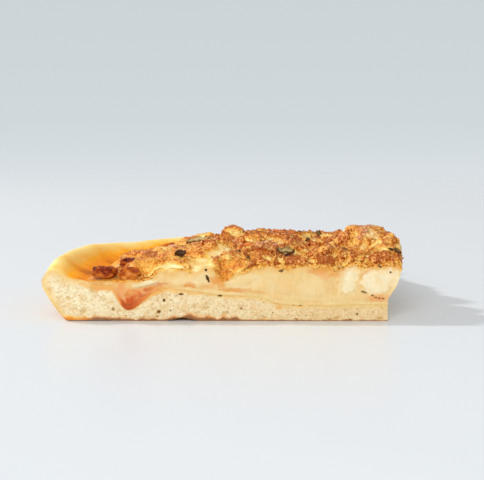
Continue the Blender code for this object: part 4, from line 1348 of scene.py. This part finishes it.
floor_mesh = bpy.data.meshes.new("table_top")
floor_bm = bmesh.new()
bmesh.ops.create_circle(floor_bm, cap_ends=True, segments=96, radius=FLOOR_RADIUS)
floor_bm.to_mesh(floor_mesh)
floor_bm.free()
floor = bpy.data.objects.new("table_top", floor_mesh)
floor_mesh.materials.append(floor_finish())
bpy.context.scene.collection.objects.link(floor)

# Light and camera
# A pale backdrop all round gives even light. One lamp high on the left throws the soft shadow to the right,
# and a wide lamp in front keeps the cut faces bright.
KEY_PLACE, KEY_SIZE, KEY_POWER = (-2.22, 0.71, 1.9), 0.25, 52.0
FILL_PLACE, FILL_SIZE, FILL_POWER = (-0.6, -2.4, 1.5), 1.2, 34.0
BACKDROP_LIGHT = (0.64, 0.645, 0.65, 1.0)
# Backdrop as the camera sees it, as (elevation in degrees, colour)
BACKDROP = ((-12.0, (228, 233, 236)), (-7.5, (228, 233, 237)), (-6.0, (226, 231, 235)),
            (-4.5, (222, 227, 231)), (-0.7, (208, 216, 219)), (5.5, (204, 212, 215)))
CAMERA_PLACE = Vector((0.0118, -0.5516, 0.0923))
CAMERA_AIM = Vector((0.0118, -0.0750, 0.03544))
CAMERA_ANGLE = 24.5


def lamp(name, place, size, power, aim):
    light = bpy.data.lights.new(name, "AREA")
    light.shape = "DISK"
    light.size = size
    light.energy = power
    made = bpy.data.objects.new(name, light)
    made.location = place
    made.rotation_euler = (Vector(aim) - Vector(place)).to_track_quat("-Z", "Y").to_euler()
    bpy.context.scene.collection.objects.link(made)


lamp("key", KEY_PLACE, KEY_SIZE, KEY_POWER, (0.0, 0.0, 0.0))
lamp("fill", FILL_PLACE, FILL_SIZE, FILL_POWER, (0.0, 0.0, 0.0))

world_light = bpy.data.worlds.new("studio")
world_light.use_nodes = True
studio = world_light.node_tree
studio.nodes.clear()
direction = node(studio, "ShaderNodeTexCoord").outputs["Generated"]
upward = node(studio, "ShaderNodeSeparateXYZ", {0: direction}).outputs["Z"]
LOWEST, HIGHEST = math.sin(math.radians(BACKDROP[0][0])), math.sin(math.radians(BACKDROP[-1][0]))
stops = []
for elevation, seen in BACKDROP:
    stops.append(((math.sin(math.radians(elevation)) - LOWEST) / (HIGHEST - LOWEST), seen))
backdrop = ramp(studio, spread(studio, upward, LOWEST, HIGHEST), stops)
seen_by_camera = node(studio, "ShaderNodeLightPath").outputs["Is Camera Ray"]
lit = node(studio, "ShaderNodeBackground", {"Color": BACKDROP_LIGHT})
shown = node(studio, "ShaderNodeBackground", {"Color": backdrop})
both = node(studio, "ShaderNodeMixShader", {0: seen_by_camera, 1: lit.outputs[0], 2: shown.outputs[0]})
node(studio, "ShaderNodeOutputWorld", {"Surface": both.outputs[0]})
bpy.context.scene.world = world_light
bpy.context.scene.view_settings.view_transform = "Standard"

camera_data = bpy.data.cameras.new("camera")
camera_data.lens = camera_data.sensor_width / 2.0 / math.tan(math.radians(CAMERA_ANGLE / 2.0))
camera_data.clip_start = 0.01
camera = bpy.data.objects.new("camera", camera_data)
camera.location = CAMERA_PLACE
camera.rotation_euler = (CAMERA_AIM - CAMERA_PLACE).to_track_quat("-Z", "Y").to_euler()
bpy.context.scene.collection.objects.link(camera)
bpy.context.scene.camera = camera
